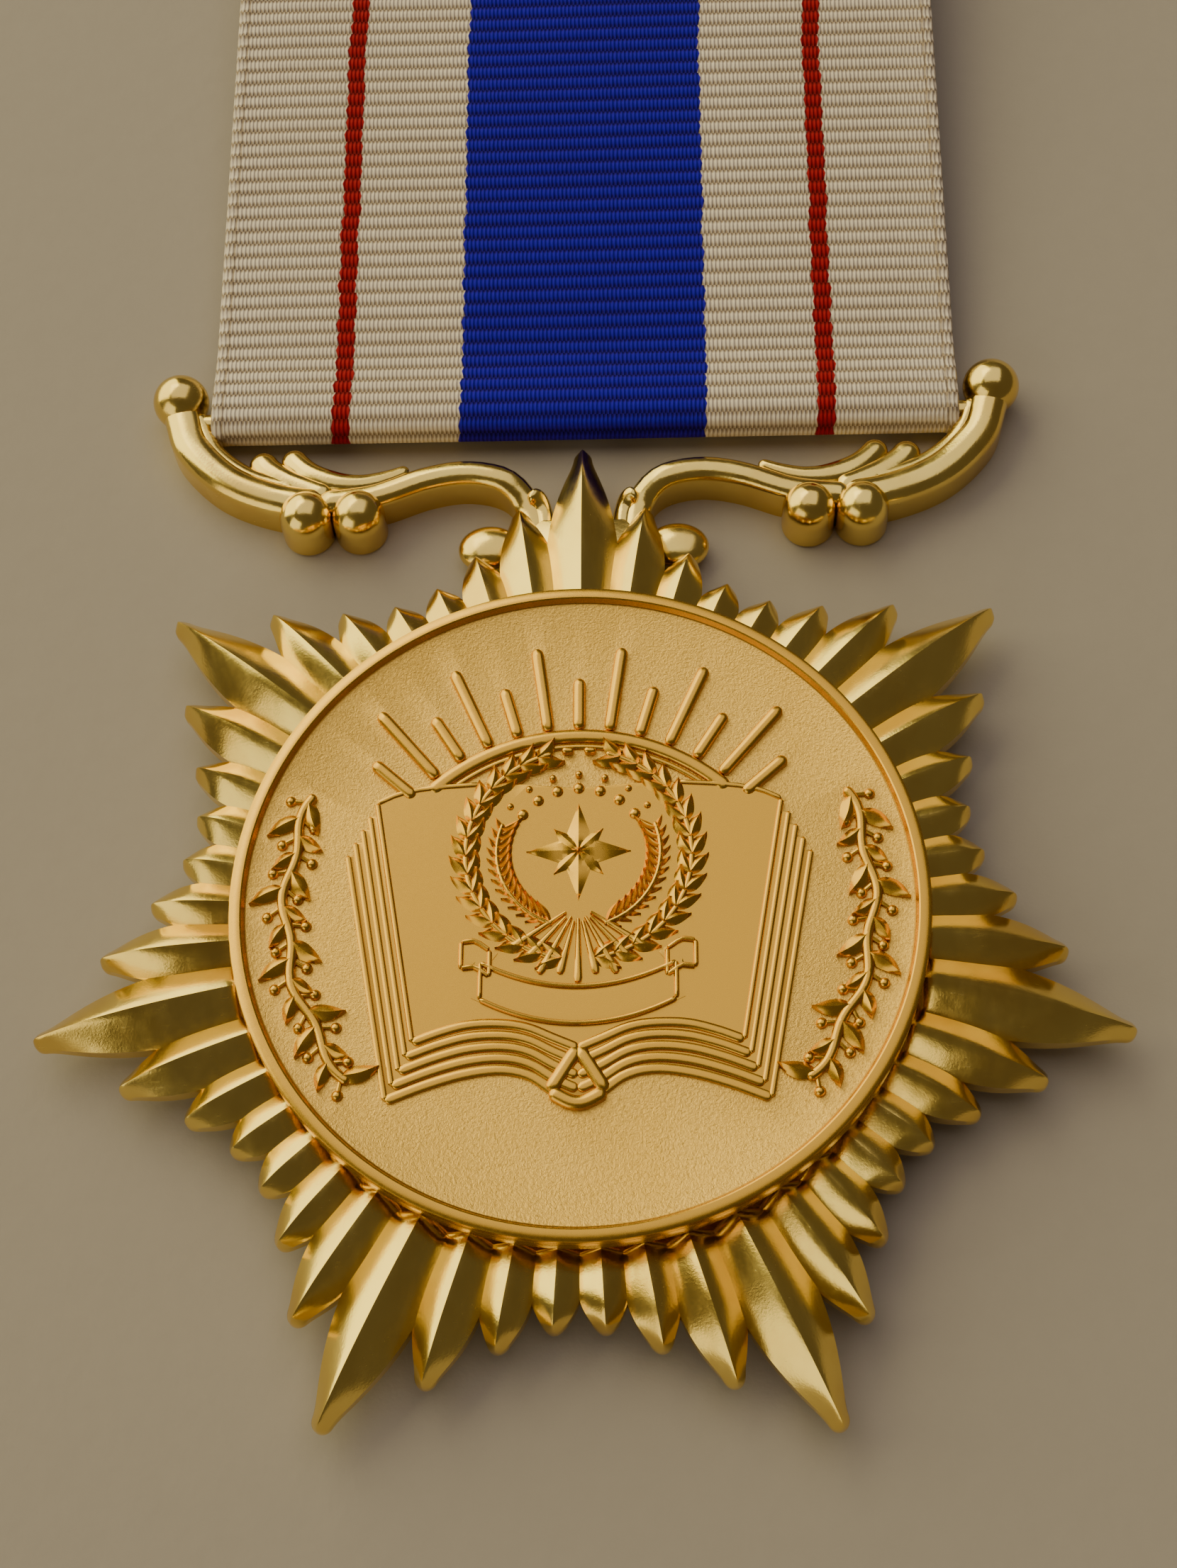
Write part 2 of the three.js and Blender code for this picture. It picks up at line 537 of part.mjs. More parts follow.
/** The pin's hinge bracket: a foot on the plate's back with two knuckles. */
function hingeBracket() {
  const gap = PIN_EYE_LENGTH / 2 + CLEARANCE;
  const reach = gap + KNUCKLE_THICKNESS;
  const footTop = BROOCH_PLATE_BACK_Z;
  const footLow = footTop - FOOT_THICKNESS;
  const x = PIN_HINGE_X;
  const half = FOOT_LENGTH / 2;
  const pieces = [block(x - half, x + half, PIN_Y - reach, PIN_Y + reach, footLow, footTop)];
  for (const [y0, y1] of [
    [PIN_Y + gap, PIN_Y + reach],
    [PIN_Y - reach, PIN_Y - gap],
  ]) {
    pieces.push(barY(KNUCKLE_RADIUS, x, y0, y1, PIN_Z));
    const cheekTop = footTop - FOOT_THICKNESS / 2;
    pieces.push(block(x - KNUCKLE_RADIUS, x + KNUCKLE_RADIUS, y0, y1, PIN_Z, cheekTop));
  }
  const bore = barY(HINGE_RIVET_RADIUS + SEAT_FIT, x, PIN_Y - reach - 1, PIN_Y + reach + 1, PIN_Z);
  return cut(joined(pieces), [bore]);
}

/** The axle through the hinge bracket and the pin's eye. */
function hingeRivet() {
  const reach = PIN_EYE_LENGTH / 2 + CLEARANCE + KNUCKLE_THICKNESS + 0.2;
  return barY(HINGE_RIVET_RADIUS, PIN_HINGE_X, PIN_Y - reach, PIN_Y + reach, PIN_Z);
}

/** The pin: an eye round the axle and a round stem that tapers to a point past the catch. */
function pin() {
  const end = PIN_CATCH_X + PIN_OVERHANG - PIN_HINGE_X;
  const profile = [
    [0, PIN_EYE_RADIUS / 2],
    [PIN_RADIUS, PIN_EYE_RADIUS / 2],
    [PIN_RADIUS, end - PIN_POINT_LENGTH],
    [0, end],
  ];
  const points = profile.map(([radius, along]) => new THREE.Vector2(radius, along));
  const stem = new THREE.LatheGeometry(points, 16).rotateZ(-Math.PI / 2);
  stem.translate(PIN_HINGE_X, PIN_Y, PIN_Z);
  const half = PIN_EYE_LENGTH / 2;
  const eye = barY(PIN_EYE_RADIUS, PIN_HINGE_X, PIN_Y - half, PIN_Y + half, PIN_Z);
  const boreRadius = HINGE_RIVET_RADIUS + RUNNING_FIT;
  const bore = barY(boreRadius, PIN_HINGE_X, PIN_Y - half - 1, PIN_Y + half + 1, PIN_Z);
  return cut(joined([solidOf(stem), eye]), [bore]);
}

/** The catch: a foot and a C-shaped hook whose mouth opens away from the plate. */
function pinCatch() {
  const half = CATCH_LENGTH / 2;
  const footLow = BROOCH_PLATE_BACK_Z - FOOT_THICKNESS;
  const x = PIN_CATCH_X;
  const footX = FOOT_LENGTH / 2;
  const footY = PIN_EYE_LENGTH / 2 + CLEARANCE + KNUCKLE_THICKNESS;
  const foot = block(x - footX, x + footX, PIN_Y - footY, PIN_Y + footY, footLow, BROOCH_PLATE_BACK_Z);
  const neckLow = PIN_Z + CATCH_INNER_RADIUS;
  const neck = block(x - half, x + half, PIN_Y - 0.5, PIN_Y + 0.5, neckLow, footLow + 0.3);
  const ring = barX(CATCH_OUTER_RADIUS, x - half, x + half, PIN_Y, PIN_Z, 28);
  const hollow = barX(CATCH_INNER_RADIUS, x - half - 1, x + half + 1, PIN_Y, PIN_Z, 28);
  const gap = CATCH_MOUTH / 2;
  const mouth = block(x - half - 1, x + half + 1, PIN_Y - gap, PIN_Y + gap, -1, PIN_Z);
  return joined([foot, neck, ring]).subtract(hollow).subtract(mouth);
}

// ---------- Assembly ----------
const medal = new THREE.Group();
medal.name = "service_medal";

/** Adds one solid to a group as a named mesh. */
function addPiece(group, name, solid, material) {
  const mesh = new THREE.Mesh(geometryOf(solid), material);
  mesh.name = name;
  group.add(mesh);
}

const pendant = new THREE.Group();
addPiece(pendant, "star", star(), polishedGold);
addPiece(pendant, "face_disc", faceDisc(), satinGold);
addPiece(pendant, "back_disc", backDisc(), satinGold);
addPiece(pendant, "scroll_suspender", suspender(), polishedGold);
const rodEnd = RIBBON_ROD_HALF_LENGTH;
addPiece(pendant, "ribbon_rod", barX(ROD_RADIUS, -rodEnd, rodEnd, RIBBON_ROD_Y, RIBBON_ROD_Z), polishedGold);
["left", "right"].forEach((side, i) => {
  const discShank = DISC_BOTTOM_Z + DISC_RIVET_BITE;
  const suspenderShank = STAR_BACK_Z + SUSPENDER_RIVET_BITE;
  const throughDisc = [discRivets[i], DISC_RIVET_RADIUS, DISC_RIVET_HEAD_RADIUS, DISC_RIVET_HEAD_HEIGHT];
  const throughTongue = [
    suspenderRivets[i],
    SUSPENDER_RIVET_RADIUS,
    SUSPENDER_RIVET_HEAD_RADIUS,
    SUSPENDER_RIVET_HEAD_HEIGHT,
  ];
  addPiece(pendant, "disc_rivet_" + side, rivet(...throughDisc, discShank), plainBrass);
  addPiece(pendant, "suspender_rivet_" + side, rivet(...throughTongue, suspenderShank), plainBrass);
});
medal.add(pendant);

addPiece(medal, "ribbon", ribbon(), ribbonCloth);

const brooch = new THREE.Group();
addPiece(brooch, "brooch_frame", broochFrame(), polishedGold);
const broochRodEnd = BROOCH_HALF_LENGTH - 0.2;
const broochRod = barX(ROD_RADIUS, -broochRodEnd, broochRodEnd, BROOCH_ROD_Y, BROOCH_ROD_Z);
addPiece(brooch, "brooch_rod", broochRod, polishedGold);
addPiece(brooch, "pin_hinge_bracket", hingeBracket(), plainBrass);
addPiece(brooch, "pin_hinge_rivet", hingeRivet(), plainBrass);
addPiece(brooch, "pin", pin(), plainBrass);
addPiece(brooch, "pin_catch", pinCatch(), plainBrass);
medal.add(brooch);

export default medal;
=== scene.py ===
"""A gilt seven-pointed star medal with a relief disc, hung by a scroll suspender from a striped ribbon.

Everything is in metres in the part's own frame: the medal lies on its back on z = 0 with its face up,
+Y runs from the star to the brooch and +X is to the right when the face is seen.
"""

import json
import logging
import math
import random
from dataclasses import dataclass
from enum import Enum
from typing import Any, Callable, Iterable, Sequence

import bmesh
import bpy
import numpy as np
from mathutils import Matrix, Vector


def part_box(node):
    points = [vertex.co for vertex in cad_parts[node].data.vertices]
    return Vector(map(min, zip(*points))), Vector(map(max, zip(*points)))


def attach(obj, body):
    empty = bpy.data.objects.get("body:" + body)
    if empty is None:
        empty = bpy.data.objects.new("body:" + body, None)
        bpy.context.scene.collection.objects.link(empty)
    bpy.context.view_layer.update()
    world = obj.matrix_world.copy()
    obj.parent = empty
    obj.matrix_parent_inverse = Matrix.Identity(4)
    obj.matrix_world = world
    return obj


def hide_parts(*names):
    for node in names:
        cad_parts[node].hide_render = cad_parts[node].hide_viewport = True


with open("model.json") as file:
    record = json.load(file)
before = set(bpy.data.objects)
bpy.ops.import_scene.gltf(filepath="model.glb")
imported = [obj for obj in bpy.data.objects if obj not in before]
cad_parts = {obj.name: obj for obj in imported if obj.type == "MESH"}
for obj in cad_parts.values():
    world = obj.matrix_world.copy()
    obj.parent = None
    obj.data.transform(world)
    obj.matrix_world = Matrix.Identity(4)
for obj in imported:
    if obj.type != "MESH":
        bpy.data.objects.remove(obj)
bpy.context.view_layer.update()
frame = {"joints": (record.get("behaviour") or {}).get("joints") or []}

MM = 0.001
WELD = 1e-7
LEAST_HALF_WIDTH = 0.01 * MM
FULL_TURN = 2 * math.pi
KEEL_POWER = 1.2  # just over 1, so that a keel's two sides swell a little
TABLE_STEEPNESS = 4  # a table's sides take up the outer quarter of each half
FIELD_BELOW_RIM = 0.35 * MM
log = logging.getLogger("medal")

Plan = tuple[float, float]
Inputs = dict[str | int, Any]


class Body(Enum):
    """The moving bodies of the part."""

    BROOCH = "brooch"
    RIBBON = "ribbon"
    PENDANT = "pendant"
    PIN = "pin"


class Slot(Enum):
    """The material slots of the part's record."""

    POLISHED = "polished_gilt"
    SATIN = "satin_gilt"
    BRASS = "brass_fittings"
    CLOTH = "ribbon_cloth"


class Crown(Enum):
    """How a bar's top rises from its two edges to its crest."""

    ROOF = "roof"
    KEEL = "keel"
    ROUND = "round"
    TABLE = "table"

    def share(self, across: float) -> float:
        """The share of the rise that is reached at a place across the bar.

        Args:
            across: the place, from -1 at one edge to 1 at the other.

        Returns:
            A share from 0 at the edges to 1 at the crest.
        """
        a = min(1.0, abs(across))
        if self is Crown.ROOF:
            return 1 - a
        if self is Crown.KEEL:
            return 1 - a**KEEL_POWER
        if self is Crown.TABLE:
            return min(1.0, TABLE_STEEPNESS * (1 - a))
        return math.sqrt(1 - a * a)


# ---------- Places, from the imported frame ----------


@dataclass(frozen=True)
class Places:
    """Where the main pieces lie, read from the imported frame."""

    disc_radius: float
    disc_bottom: float
    disc_top: float
    field: float
    star_back: float
    back_disc_radius: float
    ribbon_rod: Vector
    brooch_rod: Vector
    pin_axis: Vector
    rod_radius: float

    @classmethod
    def from_frame(cls) -> "Places":
        """Reads the places from the boxes of the nodes and the axes of the joints.

        Returns:
            The places.
        """
        disc_low, disc_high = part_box("face_disc")
        star_low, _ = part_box("star")
        _, back_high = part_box("back_disc")
        rod_low, rod_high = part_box("ribbon_rod")
        axes = {joint["name"]: Vector(joint["pos_m"]) for joint in frame["joints"]}
        return cls(
            disc_radius=disc_high.x,
            disc_bottom=disc_low.z,
            disc_top=disc_high.z,
            field=disc_high.z - FIELD_BELOW_RIM,
            star_back=star_low.z,
            back_disc_radius=back_high.x,
            ribbon_rod=axes["pendant_swing"],
            brooch_rod=axes["ribbon_swing"],
            pin_axis=axes["pin_open"],
            rod_radius=(rod_high.z - rod_low.z) / 2,
        )


PLACES = Places.from_frame()


# ---------- Bench: modelling steps ----------


def deselect() -> None:
    """Leaves edit mode and deselects every object."""
    if bpy.context.object and bpy.context.object.mode != "OBJECT":
        bpy.ops.object.mode_set(mode="OBJECT")
    bpy.ops.object.select_all(action="DESELECT")


def pick(obj: bpy.types.Object) -> None:
    """Makes an object the only selected one, and the active one."""
    deselect()
    obj.select_set(True)
    bpy.context.view_layer.objects.active = obj


def renamed(obj: bpy.types.Object, name: str) -> bpy.types.Object:
    """Gives an object and its mesh a name."""
    obj.name = name
    obj.data.name = name
    return obj


def tidy_shell(obj: bpy.types.Object) -> None:
    """Welds doubled vertices and turns every face outwards."""
    pick(obj)
    bpy.ops.object.mode_set(mode="EDIT")
    bpy.ops.mesh.select_all(action="SELECT")
    bpy.ops.mesh.remove_doubles(threshold=WELD)
    bpy.ops.mesh.normals_make_consistent(inside=False)
    bpy.ops.object.mode_set(mode="OBJECT")


def soften(obj: bpy.types.Object, width: float, segments: int = 2, sharper_than: float = 40) -> None:
    """Bevels every sharp edge of a mesh.

    Args:
        obj: the mesh object.
        width: the bevel's width, in metres.
        segments: the bevel's segments.
        sharper_than: the angle between two faces above which their edge is bevelled, in degrees.
    """
    pick(obj)
    bpy.ops.object.mode_set(mode="EDIT")
    bpy.ops.mesh.select_mode(type="EDGE")
    bpy.ops.mesh.select_all(action="DESELECT")
    bpy.ops.mesh.edges_select_sharp(sharpness=math.radians(sharper_than))
    bpy.ops.mesh.bevel(offset=width, segments=segments, affect="EDGES", clamp_overlap=True)
    bpy.ops.mesh.select_mode(type="VERT")
    bpy.ops.object.mode_set(mode="OBJECT")


def ring_of(points: Sequence[Vector], filled: bool) -> bpy.types.Object:
    """Adds a circle and lays its vertices on a closed outline.

    Args:
        points: the outline's corners.
        filled: whether the outline gets a face.

    Returns:
        The new object.
    """
    deselect()
    fill = "NGON" if filled else "NOTHING"
    bpy.ops.mesh.primitive_circle_add(vertices=len(points), radius=MM, fill_type=fill)
    obj = bpy.context.object
    for vertex, point in zip(obj.data.vertices, points):
        vertex.co = point
    return obj


def plate(name: str, outline: Sequence[Plan], z0: float, z1: float, bevel: float = 0.0) -> bpy.types.Object:
    """A flat outline raised from one height to another.

    Args:
        name: the object's name.
        outline: the corners in plan.
        z0: the lower face's height.
        z1: the upper face's height.
        bevel: the bevel's width on the sharp edges.

    Returns:
        The plate.
    """
    obj = ring_of([Vector((x, y, z0)) for x, y in outline], filled=True)
    pick(obj)
    bpy.ops.object.mode_set(mode="EDIT")
    bpy.ops.mesh.select_all(action="SELECT")
    bpy.ops.mesh.extrude_region_move(TRANSFORM_OT_translate={"value": (0, 0, z1 - z0)})
    bpy.ops.object.mode_set(mode="OBJECT")
    tidy_shell(obj)
    if bevel > 0:
        soften(obj, bevel)
    return renamed(obj, name)


def turned(
    name: str, profile: Sequence[Plan], centre: Sequence[float], axis: Sequence[float], steps: int = 64
) -> bpy.types.Object:
    """A profile spun about an axis.

    Args:
        name: the object's name.
        profile: corners as (radius, distance along the axis), whose ends lie on the axis.
        centre: the point of the axis at distance 0.
        axis: the axis, as a unit vector.
        steps: the spin's steps.

    Returns:
        The turned piece.
    """
    origin, along = Vector(centre), Vector(axis)
    out = along.orthogonal().normalized()
    obj = ring_of([origin + out * r + along * d for r, d in profile], filled=False)
    last = len(profile) - 1
    pick(obj)
    bpy.ops.object.mode_set(mode="EDIT")
    mesh = bmesh.from_edit_mesh(obj.data)
    mesh.verts.ensure_lookup_table()
    closing = mesh.edges.get((mesh.verts[0], mesh.verts[last]))
    mesh.edges.remove(closing)
    bmesh.update_edit_mesh(obj.data)
    bpy.ops.mesh.select_all(action="SELECT")
    bpy.ops.mesh.spin(steps=steps, angle=FULL_TURN, center=origin, axis=along)
    bpy.ops.object.mode_set(mode="OBJECT")
    tidy_shell(obj)
    return renamed(obj, name)


def cylinder(radius: float, start: float, end: float) -> list[Plan]:
    """The profile of a plain cylinder between two distances along its axis."""
    return [(0, start), (radius, start), (radius, end), (0, end)]


def block(name: str, low: Sequence[float], high: Sequence[float], bevel: float = 0.0) -> bpy.types.Object:
    """A box between two corners, with its edges bevelled."""
    (x0, y0, z0), (x1, y1, z1) = low, high
    return plate(name, [(x0, y0), (x1, y0), (x1, y1), (x0, y1)], z0, z1, bevel)


def smooth_path(points: Sequence[Plan], per_span: int = 12) -> list[Plan]:
    """A smooth line through points in plan.

    Args:
        points: the points that the line passes through.
        per_span: how many steps lie between two of them.

    Returns:
        The line's points.
    """
    p = [Vector(q) for q in points]
    p = [2 * p[0] - p[1], *p, 2 * p[-1] - p[-2]]
    line = []
    for i in range(1, len(p) - 2):
        for k in range(per_span):
            t = k / per_span
            a = 2 * p[i]
            b = (p[i + 1] - p[i - 1]) * t
            c = (2 * p[i - 1] - 5 * p[i] + 4 * p[i + 1] - p[i + 2]) * t**2
            d = (3 * p[i] - p[i - 1] - 3 * p[i + 1] + p[i + 2]) * t**3
            line.append(tuple((a + b + c + d) / 2))
    line.append(tuple(p[-2]))
    return line


def arc_path(centre: Plan, radius: float, start: float, end: float, steps: int = 32) -> list[Plan]:
    """Points on an arc in plan, from one angle to another in degrees."""
    angles = [math.radians(start + (end - start) * i / steps) for i in range(steps + 1)]
    return [(centre[0] + radius * math.cos(a), centre[1] + radius * math.sin(a)) for a in angles]


@dataclass
class Bar:
    """A bar that follows a line in plan, with a flat back, upright sides and a crowned top.

    Attributes:
        path: the line in plan.
        half: the half width, or a function of the share of the way along.
        crest: the height of the crest, or such a function.
        edge: the height of the two top edges, or such a function.
        base: the height of the flat back.
        crown: the shape of the top.
        rows: how many cross-sections the bar has.
        columns: how many points lie across its top.
        round_start: whether the start is rounded in plan.
        round_end: whether the end is rounded in plan.
    """

    path: Sequence[Plan]
    half: float | Callable[[float], float]
    crest: float | Callable[[float], float]
    edge: float | Callable[[float], float]
    base: float
    crown: Crown = Crown.ROUND
    rows: int = 20
    columns: int = 9
    round_start: bool = True
    round_end: bool = True

    @staticmethod
    def _at(value: float | Callable[[float], float], t: float) -> float:
        """A size at a share of the way along."""
        return value(t) if callable(value) else value

    def _stations(self) -> list[tuple[Vector, Vector, float, float, float]]:
        """The cross-sections along the path.

        Returns:
            For each, its centre, sideways direction, half width, crest height and edge height.
        """
        line = np.array(self.path, float)
        steps = np.hypot(*np.diff(line, axis=0).T)
        along = np.concatenate([[0], np.cumsum(steps)])
        total = along[-1]
        made = []
        for i in range(self.rows):
            t = (1 - math.cos(math.pi * i / (self.rows - 1))) / 2
            s = t * total
            here = Vector([np.interp(s, along, line[:, k]) for k in (0, 1)])
            ahead = [np.interp(min(total, s + total / 200), along, line[:, k]) for k in (0, 1)]
            behind = [np.interp(max(0, s - total / 200), along, line[:, k]) for k in (0, 1)]
            tangent = (Vector(ahead) - Vector(behind)).normalized()
            half = self._at(self.half, t)
            fullness = 1.0
            for rounded, distance, end in (
                (self.round_start, s, self._at(self.half, 0.0)),
                (self.round_end, total - s, self._at(self.half, 1.0)),
            ):
                if rounded and distance < end:
                    fullness = min(fullness, math.sqrt(max(0.0, 1 - (1 - distance / end) ** 2)))
            edge = self._at(self.edge, t)
            crest = edge + (self._at(self.crest, t) - edge) * fullness
            half = max(half * fullness, LEAST_HALF_WIDTH)
            made.append((here, Vector((-tangent.y, tangent.x)), half, crest, edge))
        return made

    def build(self, name: str) -> bpy.types.Object:
        """Shapes a grid into the bar's top and extrudes it down to its back.

        Args:
            name: the object's name.

        Returns:
            The bar, as one closed shell.
        """
        deselect()
        nx, ny = self.columns, self.rows
        bpy.ops.mesh.primitive_grid_add(x_subdivisions=nx - 1, y_subdivisions=ny - 1, size=MM)
        obj = bpy.context.object
        stations = self._stations()
        for index, vertex in enumerate(obj.data.vertices):
            row, column = divmod(index, nx)
            here, side, half, crest, edge = stations[row]
            across = math.sin(math.pi * (column / (nx - 1) - 0.5))
            if self.crown in (Crown.ROOF, Crown.KEEL, Crown.TABLE):
                across = 2 * column / (nx - 1) - 1
            spot = here + side * half * across
            vertex.co = (spot.x, spot.y, edge + (crest - edge) * self.crown.share(across))
        pick(obj)
        bpy.ops.object.mode_set(mode="EDIT")
        bpy.ops.mesh.select_all(action="SELECT")
        bpy.ops.mesh.extrude_region_move(TRANSFORM_OT_translate={"value": (0, 0, -MM)})
        mesh = bmesh.from_edit_mesh(obj.data)
        for vertex in mesh.verts:
            if vertex.select:
                vertex.co.z = self.base
        bmesh.update_edit_mesh(obj.data)
        bpy.ops.object.mode_set(mode="OBJECT")
        tidy_shell(obj)
        return renamed(obj, name)


def copied(obj: bpy.types.Object, place: Matrix, name: str = "copy") -> bpy.types.Object:
    """A copy with its own mesh, moved by a matrix.

    Args:
        obj: the piece to copy.
        place: the move.
        name: the copy's name.

    Returns:
        The copy.
    """
    twin = obj.copy()
    twin.data = obj.data.copy()
    bpy.context.collection.objects.link(twin)
    twin.data.transform(place)
    if place.determinant() < 0:
        twin.data.flip_normals()
    return renamed(twin, name)


def laid_at(spot: Plan, heading: float) -> Matrix:
    """The move that takes a piece lying along +X from the origin to a spot and a heading in degrees."""
    return Matrix.Translation((*spot, 0)) @ Matrix.Rotation(math.radians(heading), 4, "Z")


def turned_about(centre: Plan, angle: float) -> Matrix:
    """A turn about an upright line through a point in plan, in degrees."""
    to = Matrix.Translation((*centre, 0))
    return to @ Matrix.Rotation(math.radians(angle), 4, "Z") @ to.inverted()


MIRROR_X = Matrix.Scale(-1, 4, (1, 0, 0))


def mirrored(parts: Iterable[bpy.types.Object]) -> list[bpy.types.Object]:
    """Copies of pieces on the other side of the YZ plane."""
    return [copied(part, MIRROR_X) for part in parts]


def combine(
    name: str, base: bpy.types.Object, parts: Sequence[bpy.types.Object], operation: str = "UNION"
) -> bpy.types.Object:
    """Fuses pieces into one, or cuts them from it, and removes them.

    Args:
        name: the result's name.
        base: the piece that is added to or cut.
        parts: the other pieces.
        operation: UNION or DIFFERENCE.

    Returns:
        The base, changed.
    """
    tools = bpy.data.collections.new("tools")
    bpy.context.scene.collection.children.link(tools)
    for part in parts:
        tools.objects.link(part)
    pick(base)
    modifier = base.modifiers.new("combine", "BOOLEAN")
    modifier.operation = operation
    modifier.solver = "MANIFOLD"
    modifier.operand_type = "COLLECTION"
    modifier.collection = tools
    bpy.ops.object.modifier_apply(modifier=modifier.name)
    for part in parts:
        bpy.data.objects.remove(part)
    bpy.data.collections.remove(tools)
    return renamed(base, name)


def dress(
    obj: bpy.types.Object,
    material: bpy.types.Material,
    body: Body,
    stands_for: Sequence[str] = (),
    smooth_below: float = 38,
) -> bpy.types.Object:
    """Gives a finished piece its shading, material and body.

    Args:
        obj: the piece.
        material: its material.
        body: the body that it rides on.
        stands_for: the CAD nodes that it replaces.
        smooth_below: the angle in degrees under which an edge is shaded smooth.

    Returns:
        The piece.
    """
    pick(obj)
    bpy.ops.object.shade_smooth_by_angle(angle=math.radians(smooth_below))
    obj.data.materials.clear()
    obj.data.materials.append(material)
    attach(obj, body.value)
    if stands_for:
        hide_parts(*stands_for)
    log.info("%s: %d faces on %s", obj.name, len(obj.data.polygons), body.value)
    return obj


# ---------- Shader nodes ----------


class Wire:
    """A node's output that arithmetic can be written with; each step adds a Math node."""

    def __init__(self, sheet: "NodeSheet", socket: bpy.types.NodeSocket) -> None:
        """Wraps one output socket of a node sheet."""
        self.sheet = sheet
        self.socket = socket

    def _math(self, operation: str, *values: "Wire | float") -> "Wire":
        """One Math node on this and other values."""
        return self.sheet.wire("ShaderNodeMath", {"operation": operation}, dict(enumerate(values)))

    def __add__(self, other: "Wire | float") -> "Wire":
        """The sum."""
        return self._math("ADD", self, other)

    __radd__ = __add__

    def __sub__(self, other: "Wire | float") -> "Wire":
        """The difference."""
        return self._math("SUBTRACT", self, other)

    def __rsub__(self, other: float) -> "Wire":
        """The difference, from a number."""
        return self._math("SUBTRACT", other, self)

    def __mul__(self, other: "Wire | float") -> "Wire":
        """The product."""
        return self._math("MULTIPLY", self, other)

    __rmul__ = __mul__

    def __truediv__(self, other: "Wire | float") -> "Wire":
        """The quotient."""
        return self._math("DIVIDE", self, other)

    def __gt__(self, other: "Wire | float") -> "Wire":
        """1 where this is the greater, else 0."""
        return self._math("GREATER_THAN", self, other)

    def __lt__(self, other: "Wire | float") -> "Wire":
        """1 where this is the smaller, else 0."""
        return self._math("LESS_THAN", self, other)

    def __abs__(self) -> "Wire":
        """The size without its sign."""
        return self._math("ABSOLUTE", self)

    def floor(self) -> "Wire":
        """The whole number below."""
        return self._math("FLOOR", self)

    def sin(self) -> "Wire":
        """The sine."""
        return self._math("SINE", self)

    def step(self, low: float, high: float) -> "Wire":
        """0 below low, 1 above high and a smooth rise between."""
        settings = {"interpolation_type": "SMOOTHSTEP"}
        inputs = {"Value": self, "From Min": low, "From Max": high}
        return self.sheet.wire("ShaderNodeMapRange", settings, inputs)

    def span(self, low: float, high: float) -> "Wire":
        """This value from 0 to 1 carried to a range."""
        return self * (high - low) + low


class NodeSheet:
    """The node tree of one new material."""

    def __init__(self, name: str) -> None:
        """Starts an empty material."""
        self.material = bpy.data.materials.new(name)
        self.material.use_nodes = True
        self.tree = self.material.node_tree
        self.tree.nodes.clear()

    def node(
        self, kind: str, settings: dict[str, Any] | None = None, inputs: Inputs | None = None
    ) -> bpy.types.Node:
        """Adds one node.

        Args:
            kind: the node's type.
            settings: its settings, with a colour ramp's stops under "stops".
            inputs: the values or wires of its sockets, by name or number.

        Returns:
            The node.
        """
        node = self.tree.nodes.new(kind)
        for key, value in (settings or {}).items():
            if key == "stops":
                ramp = node.color_ramp
                while len(ramp.elements) < len(value):
                    ramp.elements.new(0.5)
                for element, (position, colour) in zip(ramp.elements, value):
                    element.position = position
                    element.color = colour
            else:
                setattr(node, key, value)
        for key, value in (inputs or {}).items():
            socket = node.inputs[key]
            if isinstance(value, Wire):
                self.tree.links.new(value.socket, socket)
            else:
                socket.default_value = value
        return node

    def wire(
        self,
        kind: str,
        settings: dict[str, Any] | None = None,
        inputs: Inputs | None = None,
        output: str | int = 0,
    ) -> Wire:
        """Adds one node and wraps one of its outputs."""
        return Wire(self, self.node(kind, settings, inputs).outputs[output])

    def place(self, scale: Sequence[float] = (1, 1, 1), uv: str | None = None) -> Wire:
        """A point on the piece, scaled: its Object coordinates, or its UV map by name."""
        if uv:
            source = self.wire("ShaderNodeUVMap", {"uv_map": uv})
        else:
            source = self.wire("ShaderNodeTexCoord", output="Object")
        return self.wire("ShaderNodeMapping", None, {"Vector": source, "Scale": scale})

    def noise(self, place: Wire, per_metre: float, detail: float = 3, roughness: float = 0.5) -> Wire:
        """Noise from 0 to 1 with so many lumps to a metre."""
        inputs = {"Vector": place, "Scale": per_metre, "Detail": detail, "Roughness": roughness}
        return self.wire("ShaderNodeTexNoise", None, inputs, output="Fac")

    def mix(self, factor: Wire | float, a: Any, b: Any) -> Wire:
        """Two colours mixed."""
        return self.wire("ShaderNodeMix", {"data_type": "RGBA"}, {0: factor, 6: a, 7: b}, output=2)

    def bump(self, height: Wire, depth: float, strength: float = 1.0, under: Wire | None = None) -> Wire:
        """A bump whose height runs from 0 to depth in metres."""
        inputs = {"Height": height, "Distance": depth, "Strength": strength}
        if under:
            inputs["Normal"] = under
        return self.wire("ShaderNodeBump", None, inputs)

    def surface(self, inputs: Inputs) -> bpy.types.Material:
        """Ends the sheet with a principled surface.

        Args:
            inputs: the surface's values and wires.

        Returns:
            The material.
        """
        shader = self.wire("ShaderNodeBsdfPrincipled", None, inputs)
        self.node("ShaderNodeOutputMaterial", None, {"Surface": shader})
        return self.material


Colour = tuple[float, float, float, float]


